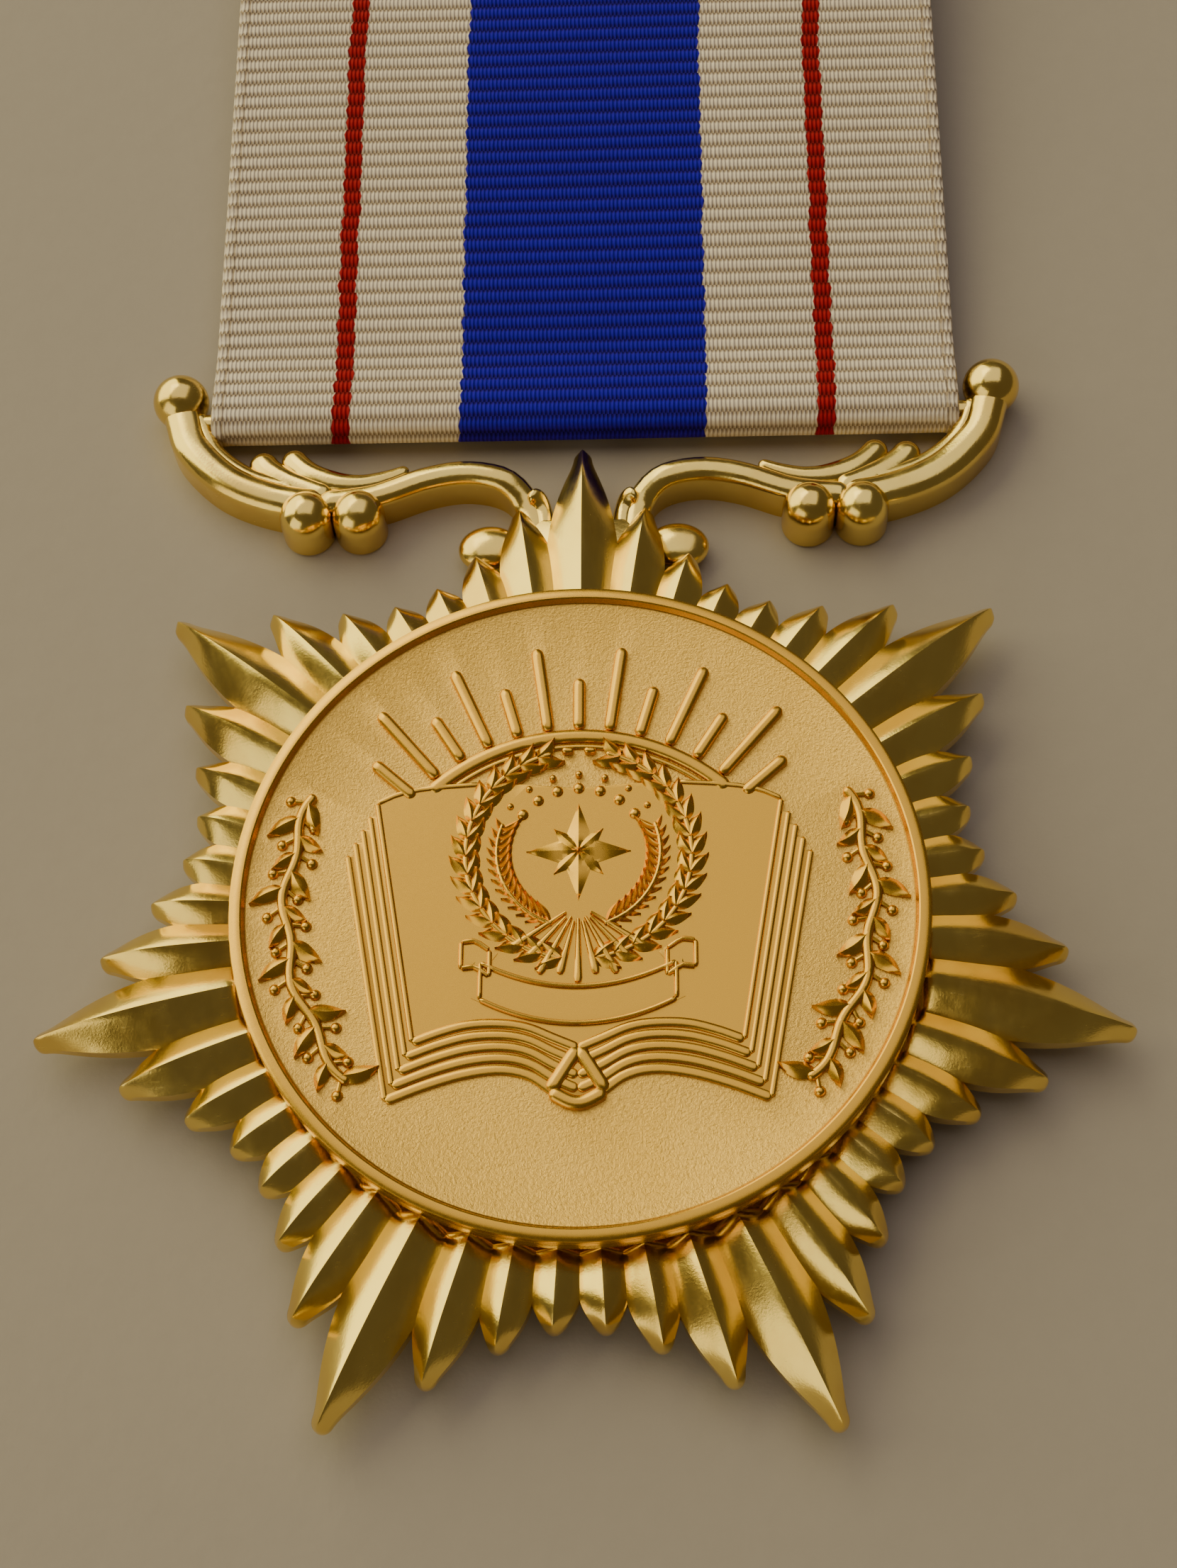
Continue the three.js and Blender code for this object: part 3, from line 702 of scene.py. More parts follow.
@dataclass(frozen=True)
class Gilt:
    """A gilt or brass finish: its colours, its gloss and its fine relief.

    Attributes:
        name: the material's name.
        bright: the colour of the clean plate.
        deep: the colour where the plate is thinner or dulled.
        roughness: the roughness where the piece is cleanest.
        roughness_spread: how much the roughness varies.
        waviness: the depth of the slow unevenness of the polish.
        grain: the depth of the fine grain.
        grain_size: the size of its lumps.
    """

    name: str
    bright: Colour
    deep: Colour
    roughness: float
    roughness_spread: float
    waviness: float
    grain: float
    grain_size: float

    def material(self) -> bpy.types.Material:
        """The finish as a material.

        Returns:
            The material.
        """
        sheet = NodeSheet(self.name)
        here = sheet.place()
        patches = sheet.noise(here, 160, 4, 0.6)
        smears = sheet.noise(sheet.place((1, 0.25, 1)), 900, 5, 0.65)
        scratches = sheet.noise(sheet.place((0.12, 1, 1)), 9000, 2, 0.5).step(0.62, 0.72)
        colour = sheet.mix(patches.step(0.35, 0.75), self.bright, self.deep)
        gloss = smears.step(0.3, 0.8) * self.roughness_spread + self.roughness + scratches * 0.05
        waves = sheet.noise(here, 420, 2, 0.4)
        fine = sheet.noise(here, 1 / self.grain_size, 2, 0.6)
        relief = sheet.bump(waves, self.waviness)
        relief = sheet.bump(fine, self.grain, under=relief)
        return sheet.surface({"Base Color": colour, "Metallic": 1.0, "Roughness": gloss, "Normal": relief})


@dataclass(frozen=True)
class StruckGilt:
    """The disc's finish: a blasted field, with its raised work and rim burnished.

    Attributes:
        name: the material's name.
        field_colour: the colour of the blasted field.
        raised_colour: the colour of the raised work.
        speckle_and_shade_colour: the colour of the dulled plate at the foot of the raised work.
        field_roughness: the field's roughness.
        raised_roughness: the raised work's roughness.
        blast_size: the size of the blasted pits.
        blast_depth: their depth.
        field_height: the height of the field.
    """

    name: str
    field_colour: Colour
    raised_colour: Colour
    speckle_and_shade_colour: Colour
    field_roughness: float
    raised_roughness: float
    blast_size: float
    blast_depth: float
    field_height: float

    def material(self) -> bpy.types.Material:
        """The finish as a material.

        Returns:
            The material.
        """
        sheet = NodeSheet(self.name)
        here = sheet.place()
        height = sheet.wire("ShaderNodeSeparateXYZ", None, {0: here}, output="Z")
        sunk = 1 - height.step(self.field_height - 0.06 * MM, self.field_height - 0.02 * MM)
        raised = height.step(self.field_height + 0.005 * MM, self.field_height + 0.03 * MM) + sunk
        pits = sheet.noise(here, 1 / self.blast_size, 2, 0.7)
        clouds = sheet.noise(here, 220, 4, 0.6)
        speckle = sheet.noise(here, 5200, 3, 0.7)
        field = sheet.mix(clouds.step(0.3, 0.8) * 0.3, self.field_colour, self.raised_colour)
        field = sheet.mix(speckle.step(0.45, 0.75) * 0.3, field, self.speckle_and_shade_colour)
        # Painted shade: the lower walls of the raised work, just over the field, are darkened towards the
        # dark colour, standing in for the shade at their foot.
        foot = height.step(self.field_height + 0.004 * MM, self.field_height + 0.02 * MM)
        foot = foot * (1 - height.step(self.field_height + 0.03 * MM, self.field_height + 0.065 * MM))
        colour = sheet.mix(raised, field, self.raised_colour)
        colour = sheet.mix(foot * 0.8, colour, self.speckle_and_shade_colour)
        rough = self.field_roughness + (speckle - 0.5) * 0.12
        gloss = rough + raised * (self.raised_roughness - self.field_roughness)
        blasted = sheet.bump(pits, self.blast_depth)
        plain = sheet.bump(clouds, 0.02 * MM)
        sockets = {0: raised, 4: blasted, 5: plain}
        relief = sheet.wire("ShaderNodeMix", {"data_type": "VECTOR"}, sockets, output=1)
        return sheet.surface({"Base Color": colour, "Metallic": 1.0, "Roughness": gloss, "Normal": relief})


@dataclass(frozen=True)
class Grosgrain:
    """The ribbon's weave: cream, with a thin red stripe on each side and a wide blue centre.

    Attributes:
        cream: the ground's colour.
        red: the thin stripes' colour.
        blue: the centre's colour.
        blue_half: half the width of the blue centre.
        red_place: how far the red stripes' middles lie from the centre.
        red_half: half the width of a red stripe.
        rib_pitch: the distance between two ribs.
        warp_pitch: the distance between two warp threads.
        half_width: half the ribbon's width.
        selvedge: the width of the plain chain along each edge.
    """

    cream: Colour = (0.94, 0.81, 0.68, 1)
    red: Colour = (0.40, 0.008, 0.016, 1)
    blue: Colour = (0.022, 0.0015, 0.50, 1)
    blue_half: float = 6.35 * MM
    red_place: float = 12.5 * MM
    red_half: float = 0.46 * MM
    rib_pitch: float = 0.8 * MM
    warp_pitch: float = 0.22 * MM
    half_width: float = 19.25 * MM
    selvedge: float = 0.58 * MM

    def material(self) -> bpy.types.Material:
        """The weave as a material on the ribbon's UV map, which is in metres.

        Returns:
            The material.
        """
        sheet = NodeSheet("grosgrain_cloth")
        spot = sheet.wire("ShaderNodeUVMap", {"uv_map": RIBBON_UV})
        split = sheet.node("ShaderNodeSeparateXYZ", None, {0: spot})
        across, along = Wire(sheet, split.outputs[0]), Wire(sheet, split.outputs[1])
        rib = (along / self.rib_pitch).floor()
        jog = sheet.wire("ShaderNodeTexWhiteNoise", {"noise_dimensions": "1D"}, {"W": rib})
        drift = sheet.noise(sheet.place((0, 1, 0), RIBBON_UV), 260, 2)
        in_rib = along / self.rib_pitch - rib
        crown = 1 - abs(in_rib * 2 - 1)
        shift = (jog - 0.5) * (0.12 * MM) + (drift - 0.5) * (0.30 * MM)
        scallop = (crown - 0.5) * (0.11 * MM)
        from_middle = abs(across + shift)
        soft = 0.03 * MM
        blue = 1 - (from_middle - scallop).step(self.blue_half - soft, self.blue_half + soft)
        off_red = abs(from_middle - self.red_place) - scallop
        red = 1 - off_red.step(self.red_half - soft, self.red_half + soft)
        cloth = sheet.mix(red, self.cream, self.red)
        cloth = sheet.mix(blue, cloth, self.blue)
        phase = across * (FULL_TURN / self.warp_pitch)
        wander = sheet.noise(sheet.place((1, 0.3, 0), RIBBON_UV), 1500, 2) * 2.2
        thread = ((phase + wander + rib * math.pi).sin() + 1) * 0.5
        fibre = sheet.noise(sheet.place((1, 0.18, 0), RIBBON_UV), 9000, 3, 0.7)
        # Painted shade: the grooves between the ribs are darkened in the colour, on top of the ribs' real
        # relief.
        groove = 1 - crown.step(0.0, 0.75)
        off_edge = abs(abs(across) - self.half_width + self.selvedge)
        chain = 1 - off_edge.step(0.02 * MM, 0.11 * MM)
        # The shade below is partly painted shade in the rib grooves, and partly the weave's own tone between
        # warp threads and in the fibres, with a thin dark line along the selvedge's inner edge.
        shade = 1.1 - groove * (1.0 - thread * 0.5) - (1 - thread) * 0.26 - (1 - fibre) * 0.3 - chain * 0.4
        dark = sheet.wire(
            "ShaderNodeMix",
            {"data_type": "RGBA", "blend_type": "MULTIPLY"},
            {0: 1.0, 6: cloth, 7: (0.42, 0.36, 0.30, 1)},
            output=2,
        )
        stain = sheet.noise(sheet.place((1, 1, 0), RIBBON_UV), 90, 4, 0.6).step(0.2, 0.8)
        worn = sheet.mix(stain * 0.18, cloth, dark)
        colour = sheet.mix(shade.step(0.0, 0.95), dark, worn)
        relief = sheet.bump(thread * 0.7 + fibre * 0.5, 0.09 * MM)
        return sheet.surface(
            {
                "Base Color": colour,
                "Roughness": 0.86 - thread * 0.12,
                "Sheen Weight": 0.03,
                "Sheen Roughness": 0.4,
                "Specular IOR Level": 0.12,
                "Normal": relief,
            }
        )


@dataclass(frozen=True)
class Thread:
    """Sewing thread, with its twist."""

    colour: Colour = (0.62, 0.55, 0.45, 1)
    twist_pitch: float = 0.25 * MM

    def material(self) -> bpy.types.Material:
        """The thread as a material."""
        sheet = NodeSheet("sewing_thread")
        twist = (sheet.noise(sheet.place((1, 1, 1)), 1 / self.twist_pitch, 2)).step(0.3, 0.7)
        darker = tuple(0.6 * c for c in self.colour[:3]) + (1,)
        colour = sheet.mix(twist, darker, self.colour)
        return sheet.surface({"Base Color": colour, "Roughness": 0.8, "Normal": sheet.bump(twist, 0.03 * MM)})


@dataclass(frozen=True)
class PaleFloor:
    """A plain pale matt floor."""

    colour: Colour = (0.41, 0.352, 0.305, 1)

    def material(self) -> bpy.types.Material:
        """The floor as a material."""
        sheet = NodeSheet("pale_floor")
        fibre = sheet.noise(sheet.place(), 700, 4, 0.7)
        darker = tuple(0.94 * c for c in self.colour[:3]) + (1,)
        colour = sheet.mix(fibre, darker, self.colour)
        return sheet.surface({"Base Color": colour, "Roughness": 0.9, "Normal": sheet.bump(fibre, 0.03 * MM)})


RIBBON_UV = "weave"


@dataclass
class Finishes:
    """The materials that the pieces share."""

    polished: bpy.types.Material
    struck: bpy.types.Material
    satin: bpy.types.Material
    brass: bpy.types.Material
    cloth: bpy.types.Material
    thread: bpy.types.Material
    floor: bpy.types.Material

    @classmethod
    def mixed(cls) -> "Finishes":
        """Makes every finish.

        Returns:
            The finishes.
        """
        gold, deep_gold = (0.96, 0.725, 0.205, 1), (0.84, 0.57, 0.14, 1)
        polished = Gilt("polished_gilt", gold, deep_gold, 0.15, 0.12, 0.035 * MM, 0.004 * MM, 0.12 * MM)
        satin_gold = (0.76, 0.54, 0.20, 1)
        satin = Gilt("satin_gilt", satin_gold, deep_gold, 0.36, 0.1, 0.01 * MM, 0.01 * MM, 0.1 * MM)
        plain, dull = (0.72, 0.50, 0.22, 1), (0.52, 0.33, 0.13, 1)
        brass = Gilt("drawn_brass", plain, dull, 0.28, 0.14, 0.02 * MM, 0.006 * MM, 0.1 * MM)
        struck = StruckGilt(
            name="struck_gilt",
            field_colour=(0.88, 0.555, 0.125, 1),
            raised_colour=(0.76, 0.43, 0.06, 1),
            # The dark colour of the field's speckle and of the painted shade at the foot of the raised work.
            speckle_and_shade_colour=(0.28, 0.13, 0.022, 1),
            field_roughness=0.46,
            raised_roughness=0.27,
            blast_size=0.11 * MM,
            blast_depth=0.045 * MM,
            field_height=PLACES.field,
        )
        return cls(
            polished=polished.material(),
            struck=struck.material(),
            satin=satin.material(),
            brass=brass.material(),
            cloth=Grosgrain().material(),
            thread=Thread().material(),
            floor=PaleFloor().material(),
        )


# ---------- Star ----------


@dataclass(frozen=True)
class RaySize:
    """One size of ray.

    Attributes:
        turn: its turn from the point's axis, in degrees.
        beyond_disc: its reach past the disc's edge.
        width: its greatest width.
        height: the height of its ridge.
        taper: how late its sides draw in, as a power.
    """

    turn: float
    beyond_disc: float
    width: float
    height: float
    taper: float


@dataclass
class Star:
    """The struck star: forty-nine keeled rays, the web that joins them and the boss under the disc."""

    points: int = 7
    root_under_disc: float = 0.5 * MM
    root_round_share: float = 0.09
    root_narrowing: float = 0.14
    tip_height: float = 0.85 * MM
    tip_edge_height: float = 0.35 * MM
    edge_rise: float = 0.5 * MM
    tip_half_width: float = 0.44 * MM
    tip_drop: float = 0.24 * MM
    ridge_hold: float = 0.75
    widest_share: float = 0.32
    web_beyond_disc: float = 1.4 * MM
    web_thickness: float = 0.32 * MM
    boss_inset: float = 1.5 * MM

    @property
    def sector(self) -> float:
        """The angle between two points, in degrees."""
        return 360 / self.points

    def sizes(self) -> list[RaySize]:
        """The main ray and the three sizes beside it."""
        return [
            RaySize(0, 9.8 * MM, 3.6 * MM, 2.2 * MM, 2.1),
            RaySize(0.1593 * self.sector, 6.5 * MM, 2.9 * MM, 1.9 * MM, 2.5),
            RaySize(0.2991 * self.sector, 4.3 * MM, 2.4 * MM, 1.65 * MM, 2.8),
            RaySize(0.4329 * self.sector, 3.2 * MM, 2.25 * MM, 1.5 * MM, 3.0),
        ]

    def _fullness(self, t: float, taper: float) -> float:
        """A ray's width at a share of its length, as a share of its widest."""
        rounding = math.sqrt(1 - max(0.0, 1 - t / self.root_round_share) ** 2)
        inward = max(0.0, 1 - t / self.widest_share)
        outward = max(0.0, (t - self.widest_share) / (1 - self.widest_share))
        return rounding * (1 - self.root_narrowing * inward**2) * (1 - outward**taper)

    def ray(self, size: RaySize) -> bpy.types.Object:
        """One ray along +Y: rounded at its root, ogive in plan, keeled and blunt at its tip.

        Args:
            size: the ray's size.

        Returns:
            The ray.
        """
        back, radius = PLACES.star_back, PLACES.disc_radius
        root, tip = radius - self.root_under_disc, radius + size.beyond_disc

        def half(t: float) -> float:
            """The half width, which ends in a round tip."""
            wide = size.width / 2 * self._fullness(t, size.taper)
            if t < self.widest_share:
                return wide
            from_tip = min(1.0, (1 - t) * (tip - root) / self.tip_half_width)
            blunt = (wide**3 + self.tip_half_width**3) ** (1 / 3)
            return blunt * math.sqrt(1 - (1 - from_tip) ** 2)

        def edge(t: float) -> float:
            """The height of the two edges."""
            return back + self.tip_edge_height + self.edge_rise * max(0.0, self._fullness(t, size.taper))

        def crest(t: float) -> float:
            """The ridge's height, which drops round at the tip."""
            fullness = max(0.0, self._fullness(t, size.taper))
            rise = (size.height - self.tip_height) * fullness**self.ridge_hold
            from_tip = min(1.0, (1 - t) * (tip - root) / self.tip_drop)
            over_edge = back + self.tip_height + rise - edge(t)
            return edge(t) + over_edge * math.sqrt(1 - (1 - from_tip) ** 2)

        bar = Bar(
            path=[(0, root), (0, tip)],
            half=half,
            crest=crest,
            edge=edge,
            base=back,
            crown=Crown.KEEL,
            rows=40,
            columns=21,
            round_start=False,
            round_end=False,
        )
        return bar.build("ray")

    def build(self) -> bpy.types.Object:
        """The whole star.

        Returns:
            The star's body.
        """
        parts = []
        for size in self.sizes():
            model = self.ray(size)
            turns = [size.turn] if size.turn == 0 else [size.turn, -size.turn]
            for point in range(self.points):
                for turn in turns:
                    parts.append(copied(model, turned_about((0, 0), point * self.sector + turn)))
            bpy.data.objects.remove(model)
        back, radius = PLACES.star_back, PLACES.disc_radius
        web = radius + self.web_beyond_disc
        web_top = back + self.web_thickness
        boss = radius - self.boss_inset
        profile = [
            (0, back),
            (web, back),
            (web, web_top - 0.1 * MM),
            (web - 0.3 * MM, web_top),
            (boss + 0.2 * MM, web_top),
            (boss, web_top + 0.2 * MM),
            (boss, PLACES.disc_bottom),
            (0, PLACES.disc_bottom),
        ]
        body = turned("star_body", profile, (0, 0, 0), (0, 0, 1), 196)
        return combine("star_body", body, parts)


# ---------- Disc ----------


@dataclass
class FaceDisc:
    """The struck disc: a raised rim, a sunburst over an open book, and a wreath round a compass star."""

    relief: float = 0.33 * MM
    page_rise: float = 0.16 * MM
    sunk: float = 0.12 * MM
    proud: float = 0.05 * MM
    shoulder_share: float = 0.35
    sun_centre: Plan = (0, -0.115)
    sun_bars: int = 13
    sun_step: float = 8
    sun_root: float = 0.643
    sun_reach: tuple[float, float] = (0.81, 0.92)
    sun_half: float = 0.30 * MM
    book_leaves: int = 5
    leaf_drop: float = 0.72
    leaf_border: float = 0.12 * MM
    mark_half: float = 0.33 * MM
    wreath_centre: Plan = (0, 0.13)
    wreath_radius: float = 0.325
    wreath_pairs: int = 16
    wreath_splay: float = 30
    compass_centre: Plan = (0, 0.135)
    frond_radius: float = 0.235
    frond_barbs: int = 13
    fan_rays: int = 9
    fan_step: float = 14
    stem_place: float = 0.835
    stem_swing: float = 0.012
    stem_half: float = 0.24 * MM
    stem_leaves: int = 17
    leaf_splay: float = 52
    berry_splay: float = 62
    berry_radius: float = 0.27 * MM
    berry_reach: float = 0.85 * MM

    @property
    def radius(self) -> float:
        """The disc's radius."""
        return PLACES.disc_radius

    @property
    def base(self) -> float:
        """The height where the raised work starts, sunk in the field."""
        return PLACES.field - self.sunk

    def at(self, x: float, y: float) -> Plan:
        """A point in plan, from shares of the disc's radius."""
        return (x * self.radius, y * self.radius)

    def line(
        self,
        path: Sequence[Plan],
        half: float | Callable[[float], float],
        rise: float,
        start: float = 0.0,
        crown: Crown = Crown.ROUND,
        rows: int = 12,
        columns: int = 7,
    ) -> bpy.types.Object:
        """A raised line with rounded ends.

        Args:
            path: the line in plan, in metres.
            half: its half width, in metres.
            rise: its crest's height over the field.
            start: the height over the field where it leaves the ground.
            crown: the shape of its top.
            rows: how many cross-sections it has.
            columns: how many points lie across it.

        Returns:
            The line as a closed shell.
        """
        field = PLACES.field
        edge = field + start + (rise - start) * self.shoulder_share
        return Bar(path, half, field + rise, edge, self.base, crown, rows, columns).build("line")

    def blank(self) -> bpy.types.Object:
        """The plain disc with its rim and its sunk field.

        Returns:
            The blank.
        """
        r, low, top, field = self.radius, PLACES.disc_bottom, PLACES.disc_top, PLACES.field
        profile = [
            (0, low),
            (r - 0.3 * MM, low),
            (r - 0.08 * MM, low + 0.08 * MM),
            (r, low + 0.3 * MM),
            (r, top - 0.22 * MM),
            (r - 0.05 * MM, top - 0.08 * MM),
            (r - 0.2 * MM, top),
            (0.966 * r, top),
            (0.962 * r, top - 0.04 * MM),
            (0.955 * r, field + 0.04 * MM),
            (0.950 * r, field),
            (0, field),
        ]
        return turned("face_disc_struck", profile, (0, 0, 0), (0, 0, 1), 180)

    def sunburst(self) -> list[bpy.types.Object]:
        """The rising sun: thirteen bars, long and short in turn, over a double arc.

        Returns:
            The bars and the arcs.
        """
        centre, r = self.at(*self.sun_centre), self.radius
        made = []
        for i in range(self.sun_bars):
            angle = math.radians(90 + self.sun_step * (i - self.sun_bars // 2))
            steps = (self.sun_root * r, self.sun_reach[i % 2] * r)
            ends = [(centre[0] + d * math.cos(angle), centre[1] + d * math.sin(angle)) for d in steps]
            made.append(self.line(ends, self.sun_half, self.relief, rows=16, columns=9))
        made.append(self.line(arc_path(centre, 0.622 * r, 46, 134), 0.34 * MM, 0.27 * MM, rows=48, columns=9))
        made.append(self.line(arc_path(centre, 0.588 * r, 51, 129), 0.13 * MM, 0.16 * MM, rows=48))
        return made

    def book(self) -> list[bpy.types.Object]:
        """The open book: two pages over stepped layers, with its mark hanging from the fold.

        Returns:
            The book's parts.
        """
        page_top, cover_top = (0.585, 0.295), (0.665, 0.135)
        hem = [(0.46, -0.435), (0.38, -0.405), (0.30, -0.385), (0.21, -0.383), (0.14, -0.395), (0.07, -0.425)]
        cover = [(0.53, -0.60), (0.42, -0.557), (0.31, -0.525), (0.21, -0.514), (0.13, -0.532), (0.06, -0.58)]
        hem, cover = [*hem, (0, -0.455)], [*cover, (0, -0.61)]
        head = [(0.0, 0.335), (0.15, 0.35), (0.29, 0.352), (0.43, 0.342), (0.52, 0.325)]
        made = []
        overlap = -0.006
        for i in range(self.book_leaves):
            out = i / (self.book_leaves - 1)
            top = self.at(*(a + (b - a) * out for a, b in zip(page_top, cover_top)))
            knots = [self.at(*(a + (b - a) * out for a, b in zip(p, q))) for p, q in zip(hem, cover)]
            curve = smooth_path(knots, 8)
            rise = self.page_rise * (1 - self.leaf_drop * out)
            start = [self.at(*p) for p in head] if i == 0 else [self.at(0, 0.1), (top[0] * 0.9, top[1])]
            inner = [self.at(overlap, y / self.radius) for y in (knots[-1][1], start[0][1])]
            outline = [*start, top, *curve, *inner]
            made.append(plate("leaf", outline, self.base, PLACES.field + rise, 0.02 * MM))
            crest = rise + self.leaf_border
            made.append(self.line([top, knots[0]], 0.135 * MM, crest, rise * 0.6, rows=16))
            made.append(self.line(curve, 0.235 * MM, crest, rise * 0.6, rows=40, columns=9))
        crease = smooth_path([self.at(*p) for p in (*head[2:], page_top)], 6)
        made.append(self.line(crease, 0.11 * MM, self.page_rise + 0.09 * MM, self.page_rise))
        made += mirrored(made)
        crest = self.relief + 0.02 * MM
        peak, corner, foot = self.at(0, -0.452), self.at(0.078, -0.578), self.at(0, -0.612)
        for side in (-1, 1):
            ends = [(side * x, y) for x, y in (peak, corner)]
            made.append(self.line(ends, self.mark_half, crest, columns=9))
        bow = smooth_path([(-corner[0], corner[1]), foot, corner], 8)
        made.append(self.line(bow, self.mark_half + 0.01 * MM, crest, rows=20, columns=9))
        return made

    def leaf(self, length: float, half: float, rise: float, start: float) -> bpy.types.Object:
        """One keeled leaf that lies along +X from the origin and curves a little.

        Args:
            length: the leaf's length.
            half: its greatest half width.
            rise: its keel's height over the field.
            start: its edges' height over the field.

        Returns:
            The leaf.
        """
        path = smooth_path([(0, 0), (length * 0.5, length * 0.05), (length, 0)], 6)

        def width(t: float) -> float:
            """The half width, widest before the middle."""
            return half * math.sin(math.pi * min(1.0, t**0.75)) ** 0.8 + 0.01 * MM * (1 - t)

        field = PLACES.field
        bar = Bar(path, width, field + rise, field + start, self.base, Crown.KEEL, 11, 7, False, False)
        return bar.build("leaf")

    def wreath(self) -> list[bpy.types.Object]:
        """Two laurel branches that meet at the foot, with leaves on both sides of each stem.

        Returns:
            The stems and the leaves.
        """
        centre, r = self.at(*self.wreath_centre), self.radius
        stem_radius, ground = self.wreath_radius * r, self.page_rise
        crest = self.relief + self.proud
        leaf = self.leaf(1.32 * MM, 0.33 * MM, crest, ground)
        first, last = -84, 76
        stem = arc_path(centre, stem_radius, first, last)
        made = [self.line(stem, 0.13 * MM, crest - self.proud, ground, rows=60)]
        for i in range(self.wreath_pairs):
            angle = first + (last - first) * (i + 0.2) / self.wreath_pairs
            foot = arc_path(centre, stem_radius, angle, angle, 1)[0]
            for splay in (-self.wreath_splay, self.wreath_splay):
                made.append(copied(leaf, laid_at(foot, angle + 90 + splay)))
        bpy.data.objects.remove(leaf)
        made += mirrored(made)
        bar_y = centre[1] + stem_radius
        for x in (-0.05, 0.015):
            made.append(self.line([(x * r, bar_y), ((x + 0.035) * r, bar_y)], 0.16 * MM, crest, ground))
        return made

    def compass(self) -> list[bpy.types.Object]:
        """An eight-pointed faceted star under an arc of beads, between two palm fronds.

        Returns:
            The star's points, the beads and the fronds.
        """
        centre, r, field = self.at(*self.compass_centre), self.radius, PLACES.field
        crest = self.relief + self.proud
        made = []
        for reach, widest, turn in ((0.15 * r, 0.62 * MM, 0), (0.10 * r, 0.5 * MM, 45)):
            bar = Bar(
                path=[centre, (centre[0] + reach, centre[1])],
                half=lambda t, widest=widest: widest * min(1.0, (1 - t) / 0.72) * min(1.0, (t + 0.02) / 0.28),
                crest=lambda t: field + crest - 0.12 * MM * t,
                edge=field + self.page_rise + 0.02 * MM,
                base=self.base,
                crown=Crown.ROOF,
                rows=14,
                round_start=False,
                round_end=False,
            )
            point = bar.build("compass_point")
            for quarter in range(4):
                made.append(copied(point, turned_about(centre, 90 * quarter + turn)))
            bpy.data.objects.remove(point)
        for angle in range(36, 145, 18):
            for reach, size in ((0.20 * r, 0.27 * MM), (0.245 * r, 0.17 * MM)):
                made.append(self.bead(arc_path(centre, reach, angle, angle, 1)[0], size, self.page_rise))
        return made + self.fronds(centre)

    def fronds(self, centre: Plan) -> list[bpy.types.Object]:
        """Two palm fronds that curve up on both sides of the compass star.

        Args:
            centre: the star's centre.

        Returns:
            The stems and their barbs.
        """
        ground, crest = self.page_rise, self.relief + 0.03 * MM
        first, last, radius = -72, 22, self.frond_radius * self.radius
        stem = arc_path(centre, radius, first, last)
        made = [self.line(stem, 0.12 * MM, crest, ground, rows=40)]
        for inward, length, half in ((42, 1.25 * MM, 0.16 * MM), (-38, 0.7 * MM, 0.13 * MM)):
            barb = self.leaf(length, half, crest, ground)
            for i in range(self.frond_barbs):
                angle = first + (last - first) * (i + 0.3) / self.frond_barbs
                foot = arc_path(centre, radius, angle, angle, 1)[0]
                made.append(copied(barb, laid_at(foot, angle + 90 + inward)))
            bpy.data.objects.remove(barb)
        return made + mirrored(made)

    def bead(self, spot: Plan, radius: float, ground: float) -> bpy.types.Object:
        """A small dome on the disc."""
        low, z = self.base, PLACES.field + ground
        rise = min(radius, self.relief + self.proud - ground)
        steps = [(radius * math.cos(a), z + rise * math.sin(a)) for a in np.linspace(0, math.pi / 2, 5)[:-1]]
        profile = [(0, low), (radius, low), *steps, (0, z + rise)]
        return turned("bead", profile, (*spot, 0), (0, 0, 1), 14)

    def ribbon_band(self, path: Sequence[Plan], half: float, rows: int) -> list[bpy.types.Object]:
        """A flat band along a line with a raised border.

        Args:
            path: the band's middle line.
            half: its half width.
            rows: how many cross-sections it has.

        Returns:
            The band and its borders.
        """
        field, crest, border = PLACES.field, self.relief + self.proud, 0.12 * MM
        flat = field + self.page_rise + self.proud
        band = Bar(path, half, flat, flat - 0.02 * MM, self.base, Crown.TABLE, rows, 9, False, False)
        made = [band.build("band")]
        sides = [[(x, y + side * half) for x, y in path] for side in (-1, 1)]
        made += [self.line(side, border, crest, self.page_rise, rows=rows) for side in sides]
        for end in (0, -1):
            made.append(self.line([sides[0][end], sides[1][end]], border, crest, self.page_rise))
        return made

    def banner(self) -> list[bpy.types.Object]:
        """A blank folded banner under the wreath, with a fan of fine rays above it.

        Returns:
            The rays and the bands.
        """
        made = []
        crest = self.relief + 0.03 * MM
        for i in range(self.fan_rays):
            angle = math.radians(-90 + self.fan_step * (i - self.fan_rays // 2))
            start, end = (0.05, 0.215) if i % 2 else (0.04, 0.235)
            ends = [self.at(d * math.cos(angle), d * math.sin(angle) - 0.03) for d in (start, end)]
            made.append(self.line(ends, lambda t: (0.08 + 0.12 * t) * MM, crest, self.page_rise))
        for side in (-1, 1):
            tail = [self.at(side * x, y) for x, y in ((0.25, -0.205), (0.29, -0.175), (0.33, -0.18))]
            made += self.ribbon_band(tail, 0.62 * MM, 8)
        middle = [self.at(x, -0.33 + 0.95 * x * x) for x in np.linspace(-0.275, 0.275, 21)]
        return made + self.ribbon_band(middle, 0.86 * MM, 30)

    def vine(self) -> list[bpy.types.Object]:
        """A leafy vine with berries in the band beside the rim, on both sides.

        Returns:
            The stems, the leaves and the berries.
        """
        middle, swing = self.stem_place * self.radius, self.stem_swing * self.radius
        first, last, waves = 23.0, -41.0, 3.5
        rng = random.Random(7)

        def spot(t: float) -> Plan:
            """A point of the stem."""
            angle = math.radians(first + (last - first) * t)
            reach = middle + swing * math.sin(FULL_TURN * waves * t)
            return (reach * math.cos(angle), reach * math.sin(angle))

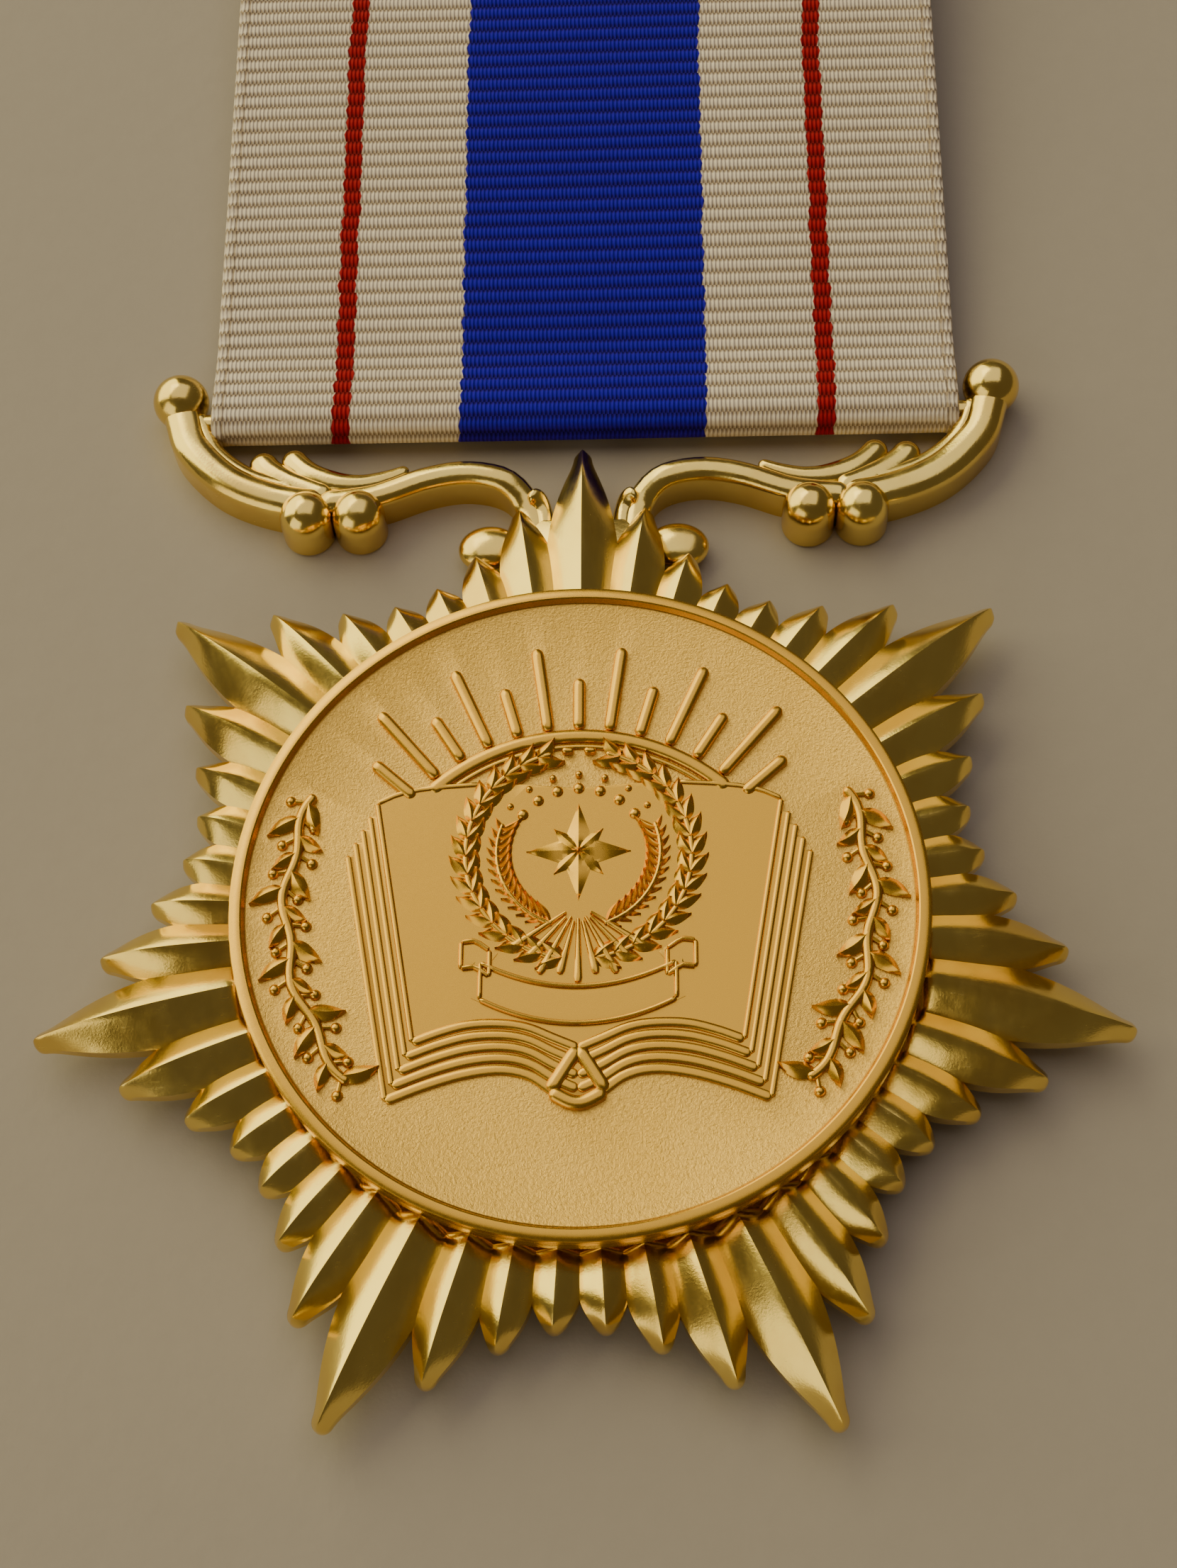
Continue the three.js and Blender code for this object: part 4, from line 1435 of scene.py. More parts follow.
        stem = [spot(i / 120) for i in range(121)]
        made = [self.line(stem, self.stem_half, self.relief, rows=110, columns=9)]
        leaf = self.leaf(1.75 * MM, 0.40 * MM, self.relief, 0.1 * MM)
        small = self.leaf(1.4 * MM, 0.34 * MM, self.relief, 0.1 * MM)
        for i in range(self.stem_leaves):
            t = (i + 0.5) / self.stem_leaves
            x, y = spot(t)
            ahead = spot(t + 0.004)
            heading = math.degrees(math.atan2(ahead[1] - y, ahead[0] - x))
            side = 1 if i % 2 else -1
            model = leaf if i % 4 < 2 else small
            turn = heading + side * (self.leaf_splay + rng.uniform(-6, 6))
            made.append(copied(model, laid_at((x, y), turn)))
            back = math.radians(heading - side * self.berry_splay)
            berry = (x + self.berry_reach * math.cos(back), y + self.berry_reach * math.sin(back))
            made.append(self.bead(berry, self.berry_radius, 0))
            made.append(self.line([(x, y), berry], 0.11 * MM, 0.16 * MM, rows=4, columns=5))
        for model in (leaf, small):
            bpy.data.objects.remove(model)
        return made + mirrored(made)

    def build(self) -> bpy.types.Object:
        """The disc with all its raised work, as one struck piece."""
        parts = self.sunburst() + self.book() + self.wreath() + self.compass() + self.banner() + self.vine()
        return combine("face_disc_struck", self.blank(), parts)


@dataclass
class BackDisc:
    """The plain disc behind the star, its two rivets, and the two that hold the suspender's tongue."""

    head_height: float = 0.6 * MM
    shank_radius: float = 0.8 * MM
    small_head_height: float = 0.45 * MM
    small_shank_radius: float = 0.5 * MM
    fit: float = 0.04 * MM

    @staticmethod
    def recess(node: str, head_height: float, fit: float) -> bpy.types.Object:
        """The cutter for a rivet head's recess.

        Args:
            node: the rivet's CAD node, whose widest part is the head.
            head_height: the height of the head's top face over z = 0.
            fit: the gap round the head.

        Returns:
            The cutter.
        """
        low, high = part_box(node)
        spot = ((low.x + high.x) / 2, (low.y + high.y) / 2, 0)
        radius = (high.x - low.x) / 2 + fit
        return turned("recess", cylinder(radius, -MM, head_height + fit), spot, (0, 0, 1), 48)

    def disc(self) -> bpy.types.Object:
        """The disc, with a shallow turned border and a recess for each rivet head.

        Returns:
            The disc.
        """
        r, top = PLACES.back_disc_radius, PLACES.star_back
        step = 0.12 * MM
        profile = [
            (0, step),
            (r - 2.0 * MM, step),
            (r - 1.85 * MM, 0),
            (r - 0.3 * MM, 0),
            (r - 0.08 * MM, 0.08 * MM),
            (r, 0.3 * MM),
            (r, top),
            (0, top),
        ]
        disc = turned("back_disc_plain", profile, (0, 0, 0), (0, 0, 1), 160)
        nodes = [f"disc_rivet_{side}" for side in ("left", "right")]
        cutters = [self.recess(node, self.head_height, self.fit) for node in nodes]
        return combine("back_disc_plain", disc, cutters, "DIFFERENCE")

    @staticmethod
    def rivet(node: str, name: str, head_height: float, shank: float) -> bpy.types.Object:
        """A rivet with a low domed head, in its CAD node's box.

        Args:
            node: the CAD node.
            name: the piece's name.
            head_height: the height of the head's top face over z = 0.
            shank: the shank's radius.

        Returns:
            The rivet.
        """
        low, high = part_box(node)
        spot = ((low.x + high.x) / 2, (low.y + high.y) / 2, 0)
        r = (high.x - low.x) / 2
        profile = [(0, low.z)]
        for share in (0.35, 0.6, 0.8, 0.93, 1.0):
            profile.append((r * share, low.z + (head_height - low.z) * 0.55 * share**3))
        profile += [(r, head_height), (shank, head_height), (shank, high.z), (0, high.z)]
        return turned(name, profile, spot, (0, 0, 1), 48)


# ---------- Suspender ----------


@dataclass
class ScrollSuspender:
    """The cast suspender: two scrolled arms with beads, leaves and end balls, and a tongue."""

    arm_height: float = 2.3 * MM
    ball_radius: float = 1.45 * MM
    ball_above_rod: float = 1.4 * MM
    ball_x: float = 21.05 * MM
    bead_radius: float = 1.35 * MM
    bead_height: float = 2.95 * MM
    bead_spacing: float = 2.68 * MM
    beads_below_rod: float = 5.85 * MM
    beads_x: float = 12.75 * MM

    def on_arm(self, share: float, above_rod: float) -> Plan:
        """A point of the right side: a share of the way to the ball, and millimetres over the rod."""
        return (share * self.ball_x, PLACES.ribbon_rod.y + above_rod * MM)

    def strand(
        self,
        points: Sequence[Plan],
        half: float | Callable[[float], float],
        height: float | Callable[[float], float],
        rows: int = 44,
        round_end: bool = True,
    ) -> bpy.types.Object:
        """A strand of the casting with upright sides and a round top.

        Args:
            points: the strand's line, as shares and millimetres over the rod.
            half: its half width.
            height: its height.
            rows: how many cross-sections it has.
            round_end: whether its far end is rounded.

        Returns:
            The strand.
        """
        path = smooth_path([self.on_arm(*p) for p in points], 16)

        def wall(t: float) -> float:
            """The height of the upright sides."""
            width = half(t) if callable(half) else half
            crest = height(t) if callable(height) else height
            return crest - 0.8 * width

        return Bar(path, half, height, wall, 0.0, Crown.ROUND, rows, 13, True, round_end).build("strand")

    def outer_arm(self) -> list[bpy.types.Object]:
        """The outer arm: a broad strand from the ball to the beads, with a thinner one along its inside."""
        broad = [(1.0, 1.4), (0.985, 0.0), (0.955, -1.65), (0.865, -3.6), (0.745, -4.75), (0.62, -5.2)]
        thin = [(0.955, 0.6), (0.935, -0.6), (0.90, -1.95), (0.82, -3.3), (0.72, -4.1), (0.62, -4.6)]

        def broad_half(t: float) -> float:
            """The broad strand's half width."""
            return (1.0 - 0.12 * t) * MM

        return [
            self.strand(broad, broad_half, self.arm_height),
            self.strand(thin, lambda t: (0.50 + 0.1 * t) * MM, 1.95 * MM),
        ]

    def inner_arm(self) -> list[bpy.types.Object]:
        """The inner arm: over the hump and down under the star's rays, with a small lobe beside its end.

        Returns:
            The two strands.
        """
        line = [(0.64, -5.1), (0.57, -5.0), (0.49, -4.7), (0.385, -3.85), (0.29, -3.5), (0.205, -3.8)]
        line += [(0.15, -4.6), (0.125, -5.9), (0.12, -8.0)]
        lobe = [(0.13, -4.7), (0.108, -5.0), (0.096, -5.7), (0.092, -6.6), (0.09, -7.8)]

        def dive(top: float, start: float, end: float) -> Callable[[float], float]:
            """A height that falls under the star.

            Args:
                top: the height before the fall.
                start: the share of the length where the fall starts.
                end: the share where it ends.

            Returns:
                The height as a function of the share.
            """
            low = PLACES.star_back - 0.08 * MM

            def height(t: float) -> float:
                """The height at a share of the length."""
                a = min(1.0, max(0.0, (t - start) / (end - start)))
                return top + (low - top) * a * a * (3 - 2 * a)

            return height

        return [
            self.strand(line, lambda t: (0.66 + 0.08 * t) * MM, dive(self.arm_height, 0.66, 0.83)),
            self.strand(lobe, 0.5 * MM, dive(2.1 * MM, 0.02, 0.32), 30),
        ]

    def leaves(self) -> list[bpy.types.Object]:
        """The two-pronged leaf that curls up beside the beads and trails off along the inner arm."""
        outer = [(0.80, -1.85), (0.775, -2.75), (0.725, -3.55), (0.665, -4.2), (0.61, -4.7)]
        inner = [(0.725, -1.75), (0.70, -2.55), (0.66, -3.3), (0.60, -3.85), (0.54, -3.95)]
        inner += [(0.48, -3.6), (0.425, -3.05)]
        return [
            self.strand(outer, lambda t: (0.76 - 0.12 * t) * MM, lambda t: (1.85 + 0.3 * t) * MM, 30),
            self.strand(
                inner,
                lambda t: (0.66 - 0.36 * max(0.0, t - 0.45) / 0.55) * MM,
                lambda t: (1.8 + 0.3 * math.sin(math.pi * t)) * MM,
                40,
            ),
        ]

    def bead(self, x: float) -> bpy.types.Object:
        """A short post with a domed top."""
        r, rim = self.bead_radius, self.bead_height - self.bead_radius
        dome = [(r * math.cos(a), rim + r * math.sin(a)) for a in np.linspace(0, math.pi / 2, 12)[:-1]]
        profile = [(0, 0), (r - 0.15 * MM, 0), (r, 0.15 * MM), *dome, (0, self.bead_height)]
        y = PLACES.ribbon_rod.y - self.beads_below_rod
        return turned("bead", profile, (x, y, 0), (0, 0, 1), 40)

    def ball(self) -> bpy.types.Object:
        """The ball that ends an arm."""
        r = self.ball_radius
        profile = [(r * math.cos(a), r + r * math.sin(a)) for a in np.linspace(-math.pi / 2, math.pi / 2, 22)]
        profile[0], profile[-1] = (0, 0), (0, 2 * r)
        y = PLACES.ribbon_rod.y + self.ball_above_rod
        return turned("ball", profile, (self.ball_x, y, 0), (0, 0, 1), 40)

    def bulb(self) -> bpy.types.Object:
        """The oval knob that shows beside the foot."""
        half = PLACES.star_back / 2
        sweep = np.linspace(-math.pi / 2, math.pi / 2, 18)
        profile = [(half * math.cos(a), half + half * math.sin(a)) for a in sweep]
        profile[0], profile[-1] = (0, 0), (0, 2 * half)
        knob = turned("bulb", profile, (0, 0, 0), (0, 0, 1), 36)
        stretch = Matrix.Diagonal((1.6 * MM / half, 1.3 * MM / half, 1, 1))
        knob.data.transform(Matrix.Translation((4.75 * MM, PLACES.ribbon_rod.y - 7.45 * MM, 0)) @ stretch)
        return knob

    def tongue(self) -> bpy.types.Object:
        """The plate behind the star's top ray that the rivets pass through."""
        low = PLACES.back_disc_radius + 0.3 * MM
        high = PLACES.ribbon_rod.y - 6.2 * MM
        half = 3.3 * MM
        outline = [(-half, low), (half, low), (half, high - 1.2 * MM), (half - 1.2 * MM, high)]
        outline += [(1.2 * MM - half, high), (-half, high - 1.2 * MM)]
        foot = plate("tongue", outline, 0, PLACES.star_back, 0.12 * MM)
        back = BackDisc()
        nodes = [f"suspender_rivet_{side}" for side in ("left", "right")]
        cutters = [back.recess(node, back.small_head_height, back.fit) for node in nodes]
        return combine("tongue", foot, cutters, "DIFFERENCE")

    def build(self) -> bpy.types.Object:
        """The whole suspender as one casting."""
        right = [*self.outer_arm(), *self.inner_arm(), *self.leaves(), self.ball(), self.bulb()]
        right += [self.bead(self.beads_x + side * self.bead_spacing / 2) for side in (-1, 1)]
        y = PLACES.ribbon_rod.y - 7.45 * MM
        right.append(block("neck", (0, y - 0.5 * MM, 0), (4.75 * MM, y + 0.5 * MM, 0.8 * MM), 0.1 * MM))
        return combine("scroll_suspender_cast", self.tongue(), right + mirrored(right))


def rod(name: str, node: str, radius: float) -> bpy.types.Object:
    """A round rod along X in its CAD node's box, with rounded ends.

    Args:
        name: the piece's name.
        node: the CAD node.
        radius: the rod's radius.

    Returns:
        The rod.
    """
    low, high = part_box(node)
    soft = 0.15 * MM
    length = high.x - low.x
    centre = (low.x, (low.y + high.y) / 2, (low.z + high.z) / 2)
    profile = [(0, 0), (radius - soft, 0), (radius, soft)]
    profile += [(r, length - d) for r, d in reversed(profile)]
    return turned(name, profile, centre, (1, 0, 0), 48)


# ---------- Ribbon ----------


@dataclass
class RibbonStrip:
    """The woven strip: it starts behind the brooch rod, turns over it, runs down, turns round the lower
    rod, comes back up behind and ends over its own start, where it is stitched."""

    width: float = 38.5 * MM
    thickness: float = 0.44 * MM
    groove_share: float = 0.5
    rib_pitch: float = 0.8 * MM
    rows_per_rib: int = 8
    gap: float = 0.06 * MM
    taper: float = 4.5 * MM
    hem_start: float = 9.5 * MM
    hem_end: float = 5.0 * MM
    selvedge_width: float = 0.75 * MM

    @property
    def loop_radius(self) -> float:
        """The radius of a loop's middle line."""
        return PLACES.rod_radius + self.gap + 0.225 * MM

    def line(self) -> list[Plan]:
        """The strip's middle line.

        Returns:
            Its points, as distances along the hang and out of it from the lower rod.
        """
        lower, upper = PLACES.ribbon_rod, PLACES.brooch_rod
        span = (upper - lower).length
        leg = 0.25 * MM
        radius = self.loop_radius

        def out(s: float) -> float:
            """How far a leg stands from the line between the rods."""
            near = min(s, span - s)
            t = min(1.0, max(0.0, near / self.taper))
            return radius + (leg - radius) * t * t * (3 - 2 * t)

        steps = 400
        line = [(s, -out(s)) for s in np.linspace(span - self.hem_start, span, 60)]
        turn = np.linspace(-math.pi / 2, math.pi / 2, 40)[1:-1]
        line += [(span + radius * math.cos(a), radius * math.sin(a)) for a in turn]
        line += [(s, out(s)) for s in np.linspace(span, 0, steps)]
        line += [(-radius * math.cos(a), -radius * math.sin(a)) for a in turn]
        end = span - self.hem_end
        layer = self.thickness * 1.04
        for s in np.linspace(0, end, steps):
            t = min(1.0, max(0.0, (s - (span - self.hem_start - 2.2 * MM)) / (2.0 * MM)))
            line.append((s, -out(s) - layer * t * t * (3 - 2 * t)))
        return line

    def build(self) -> tuple[bpy.types.Object, float]:
        """The strip with real ribs on both faces.

        Returns:
            The strip, and its flat length.
        """
        lower, upper = PLACES.ribbon_rod, PLACES.brooch_rod
        along = (upper - lower).normalized()
        out = Vector((0, -along.z, along.y))
        line = np.array(self.line())
        steps = np.hypot(*np.diff(line, axis=0).T)
        reach = np.concatenate([[0], np.cumsum(steps)])
        length = float(reach[-1])
        rows = int(length / self.rib_pitch * self.rows_per_rib) + 1
        v = np.linspace(0, length, rows)
        s, n = np.interp(v, reach, line[:, 0]), np.interp(v, reach, line[:, 1])
        ds, dn = np.gradient(s), np.gradient(n)
        size = np.hypot(ds, dn)
        normal_s, normal_n = dn / size, -ds / size
        half = self.width / 2
        inner = half - self.selvedge_width
        flat = np.linspace(-inner, inner, 19)
        rim = [half - 0.55 * MM, half - 0.3 * MM, half - 0.12 * MM, half - 0.02 * MM]
        top = np.concatenate([[-x for x in reversed(rim)], flat, rim])
        ring = np.concatenate([top, [half], top[::-1], [-half]])
        sides = np.concatenate([np.ones(len(top)), [0], -np.ones(len(top)), [0]])
        rng = np.random.default_rng(11)
        verts, uvs = [], []
        phase = v / self.rib_pitch
        rib = (0.5 - 0.5 * np.cos(FULL_TURN * phase)) ** 0.7
        jitter = rng.normal(0, 1, int(length / self.rib_pitch) + 3)
        for i in range(rows):
            k = int(phase[i])
            swell = self.groove_share + (1 - self.groove_share) * rib[i]
            thick = self.thickness / 2 * swell * (1 + 0.03 * jitter[k])
            loop_out = 0.05 * MM * (0.5 + 0.5 * math.cos(math.pi * phase[i])) + 0.015 * MM * jitter[k]
            for x, side in zip(ring, sides):
                edge = max(0.0, (abs(x) - inner) / self.selvedge_width)
                chain = 0.5 + 0.5 * math.cos(math.pi * phase[i] * 2)
                body = thick if edge == 0 else self.thickness / 2 * (0.62 + 0.38 * chain)
                fall = math.sqrt(max(0.0, 1 - max(0.0, (abs(x) - (half - 0.3 * MM)) / (0.3 * MM)) ** 2))
                notch = 1 - 0.35 * math.exp(-(((abs(x) - inner - 0.08 * MM) / (0.07 * MM)) ** 2))
                rise = side * body * fall * notch
                wave = 0.02 * MM * math.sin(x * 310 + 1.3 * math.sin(v[i] * 90))
                across = x + math.copysign(loop_out * edge, x) * (1 if abs(x) > inner else 0)
                across = max(-half, min(half, across))
                a = s[i] + normal_s[i] * rise
                b = n[i] + normal_n[i] * rise + wave * (1 if abs(n[i]) < 0.3 * MM else 0)
                point = lower + along * a + out * b
                verts.append((across, point.y, point.z))
                uvs.append((x, v[i]))
        count = len(ring)
        faces = []
        for i in range(rows - 1):
            for j in range(count):
                k = (j + 1) % count
                faces.append((i * count + j, i * count + k, (i + 1) * count + k, (i + 1) * count + j))
        faces.append(tuple(range(count)))
        faces.append(tuple(reversed(range((rows - 1) * count, rows * count))))
        mesh = bpy.data.meshes.new("ribbon_strip")
        mesh.from_pydata(verts, [], faces)
        weave = mesh.uv_layers.new(name=RIBBON_UV)
        index = np.zeros(len(mesh.loops), int)
        mesh.loops.foreach_get("vertex_index", index)
        weave.data.foreach_set("uv", np.array(uvs)[index].ravel())
        obj = bpy.data.objects.new("ribbon_strip", mesh)
        bpy.context.scene.collection.objects.link(obj)
        tidy_shell(obj)
        return obj, length

    def stitches(self) -> bpy.types.Object:
        """The row of stitches that holds the strip's end behind the brooch rod.

        Returns:
            The stitches, as one piece.
        """
        lower, upper = PLACES.ribbon_rod, PLACES.brooch_rod
        along = (upper - lower).normalized()
        out = Vector((0, -along.z, along.y))
        span = (upper - lower).length
        s = span - (self.hem_start + self.hem_end) / 2
        deep = -(0.25 * MM + self.thickness * 1.04 + self.thickness / 2 + 0.02 * MM)
        spot = lower + along * s + out * deep
        length, pitch = 1.5 * MM, 2.1 * MM
        half = self.width / 2 - 1.5 * MM
        count = int(2 * half / pitch) + 1
        profile = [(0, -length / 2)]
        for share in (0.9, 0.6, 0.0, -0.6, -0.9):
            profile.append((0.14 * MM * math.sqrt(1 - share * share * 0.9), -share * length / 2))
        profile.append((0, length / 2))
        model = turned("stitch", profile, spot, (1, 0, 0), 10)
        copies = [copied(model, Matrix.Translation((-half + i * pitch, 0, 0))) for i in range(1, count)]
        deselect()
        for part in [model, *copies]:
            part.select_set(True)
        model.data.transform(Matrix.Translation((-half, 0, 0)))
        bpy.context.view_layer.objects.active = model
        bpy.ops.object.join()
        return renamed(model, "ribbon_stitches")


# ---------- Brooch ----------


@dataclass
class Brooch:
    """The slot brooch: its framed bar with two ears, and the fittings of the pin behind it."""

    corner: float = 1.6 * MM
    ear_width: float = 1.9 * MM
    loop_radius: float = 1.11 * MM
    slot_gap: float = 0.5 * MM
    panel_inset: float = 0.7 * MM
    panel_depth: float = 0.18 * MM
    foot_thickness: float = 0.6 * MM
    foot_length: float = 4.6 * MM
    knuckle_radius: float = 1.3 * MM
    knuckle_thickness: float = 0.8 * MM
    eye_length: float = 2.2 * MM
    eye_radius: float = 1.15 * MM
    eye_bore: float = 0.56 * MM
    axle_bore: float = 0.54 * MM
    rod_fit: float = 0.04 * MM
    clearance: float = 0.15 * MM

    def body(self) -> bpy.types.Object:
        """The bar with rounded corners and a sunk panel, and the ears that hold the rod.

        Returns:
            The brooch's body.
        """
        low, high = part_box("brooch_frame")
        rod_at = PLACES.brooch_rod
        back, top = rod_at.z - 0.5 * MM, rod_at.z + 0.5 * MM
        y0, y1, half = rod_at.y + self.loop_radius + self.slot_gap, high.y, high.x
        c = self.corner
        outline = [(-half, y0), (half, y0)]
        outline += arc_path((half - c, y1 - c), c, 0, 90, 10)
        outline += arc_path((c - half, y1 - c), c, 90, 180, 10)
        bar = plate("brooch_body", outline, back, top, 0.18 * MM)
        inset = self.panel_inset
        r = c - inset
        panel = [(inset - half, y0 + inset), (half - inset, y0 + inset)]
        panel += arc_path((half - c, y1 - c), r, 0, 90, 8)
        panel += arc_path((c - half, y1 - c), r, 90, 180, 8)
        sunk = plate("panel", panel, top - self.panel_depth, top + MM, 0.0)
        bar = combine("brooch_body", bar, [sunk], "DIFFERENCE")
        parts = []
        for side in (-1, 1):
            x0, x1 = sorted((side * half, side * (half - self.ear_width)))
            soft = 0.2 * MM
            r, length = self.loop_radius, x1 - x0
            profile = [(0, 0), (r - soft, 0), (r - 0.05 * MM, 0.06 * MM), (r, soft)]
            profile += [(a, length - b) for a, b in reversed(profile[1:])] + [(0, length)]
            parts.append(turned("ear", profile, (x0, rod_at.y, rod_at.z), (1, 0, 0), 40))
            parts.append(block("cheek", (x0, rod_at.y, back), (x1, y0 + 0.5 * MM, top), 0.12 * MM))
        body = combine("brooch_body", bar, parts)
        ends = high.x + MM
        bore = cylinder(PLACES.rod_radius + self.rod_fit, -ends, ends)
        return combine("brooch_body", body, [turned("bore", bore, rod_at, (1, 0, 0), 40)], "DIFFERENCE")

    def _ring(
        self,
        name: str,
        outer: float,
        inner: float,
        centre: Sequence[float],
        axis: Sequence[float],
        length: float,
    ) -> bpy.types.Object:
        """A short tube with softened ends, centred on a point of its axis.

        Args:
            name: the tube's name.
            outer: its outer radius.
            inner: its bore's radius, or 0 for a solid one.
            centre: the middle of its axis.
            axis: the axis, as a unit vector.
            length: its length.

        Returns:
            The tube.
        """
        soft, half = 0.1 * MM, length / 2
        profile = [(0, -half), (outer - soft, -half), (outer, soft - half)]
        profile += [(outer, half - soft), (outer - soft, half), (0, half)]
        tube = turned(name, profile, centre, axis, 40)
        if inner > 0:
            bore = turned("bore", cylinder(inner, -length, length), centre, axis, 40)
            tube = combine(name, tube, [bore], "DIFFERENCE")
        return tube

    def hinge(self) -> bpy.types.Object:
        """The pin's bracket: a foot with two cheeks and knuckles.

        Returns:
            The bracket.
        """
        axis, foot_top = PLACES.pin_axis, PLACES.brooch_rod.z - 0.5 * MM
        gap = self.eye_length / 2 + self.clearance
        reach = gap + self.knuckle_thickness
        half = self.foot_length / 2
        foot_low = foot_top - self.foot_thickness
        low, high = (axis.x - half, axis.y - reach, foot_low), (axis.x + half, axis.y + reach, foot_top)
        foot = block("pin_hinge_cheeks", low, high, 0.12 * MM)
        parts = []
        r = self.knuckle_radius
        for side in (-1, 1):
            y = axis.y + side * (gap + reach) / 2
            y0, y1 = y - self.knuckle_thickness / 2, y + self.knuckle_thickness / 2
            parts.append(self._ring("knuckle", r, 0, (axis.x, y, axis.z), (0, 1, 0), self.knuckle_thickness))
            corners = (axis.x - r, y0, axis.z), (axis.x + r, y1, foot_low + 0.3 * MM)
            parts.append(block("cheek", *corners, 0.06 * MM))
        made = combine("pin_hinge_cheeks", foot, parts)
        bore = cylinder(self.axle_bore, -reach - MM, reach + MM)
        return combine("pin_hinge_cheeks", made, [turned("bore", bore, axis, (0, 1, 0), 40)], "DIFFERENCE")

    def hinge_axle(self) -> bpy.types.Object:
        """The axle through the cheeks and the pin's eye, with peened ends."""
        low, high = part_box("pin_hinge_rivet")
        r, length, soft = (high.x - low.x) / 2, high.y - low.y, 0.12 * MM
        profile = [(0, 0), (r - soft, 0.02 * MM), (r, soft)]
        profile += [(a, length - b) for a, b in reversed(profile)]
        centre = ((low.x + high.x) / 2, low.y, (low.z + high.z) / 2)
        return turned("pin_hinge_axle", profile, centre, (0, 1, 0), 40)

    def catch(self) -> bpy.types.Object:
        """The catch: a foot and a hook whose mouth opens away from the bar.

        Returns:
            The catch.
        """
        low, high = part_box("pin_catch")
        x = (low.x + high.x) / 2
        y, z = PLACES.pin_axis.y, PLACES.pin_axis.z
        half = 1.2 * MM
        foot_low = high.z - self.foot_thickness
        foot = block("pin_hook", (low.x, low.y, foot_low), (high.x, high.y, high.z), 0.12 * MM)
        neck_low = (x - half + 0.05 * MM, y - 0.5 * MM, z + 0.9 * MM)
        neck = block("neck", neck_low, (x + half - 0.05 * MM, y + 0.5 * MM, foot_low + 0.3 * MM), 0.05 * MM)
        ring = self._ring("hook", 1.3 * MM, 0.75 * MM, (x, y, z), (1, 0, 0), 2 * half)
        mouth = block("mouth", (x - half - MM, y - 0.62 * MM, -MM), (x + half + MM, y + 0.62 * MM, z))
        ring = combine("hook", ring, [mouth], "DIFFERENCE")
        return combine("pin_hook", foot, [neck, ring])

    def pin(self) -> bpy.types.Object:
        """The pin: an eye round the axle and a stem that tapers to its point.

        Returns:
            The pin.
        """
        _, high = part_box("pin")
        axis = PLACES.pin_axis
        start, end, r, taper = 0.6 * MM, high.x - axis.x, 0.5 * MM, 3 * MM
        profile = [(0, start), (r, start), (r, end - taper)]
        for share in (0.3, 0.6, 0.85):
            profile.append((r * (1 - share**1.5), end - taper * (1 - share)))
        profile.append((0, end))
        stem = turned("pin_stem", profile, axis, (1, 0, 0), 32)
        eye = self._ring("eye", self.eye_radius, 0, axis, (0, 1, 0), self.eye_length)
        made = combine("pin_stem", stem, [eye])
        bore = cylinder(self.eye_bore, -self.eye_length, self.eye_length)
        return combine("pin_stem", made, [turned("bore", bore, axis, (0, 1, 0), 40)], "DIFFERENCE")


# ---------- Studio ----------


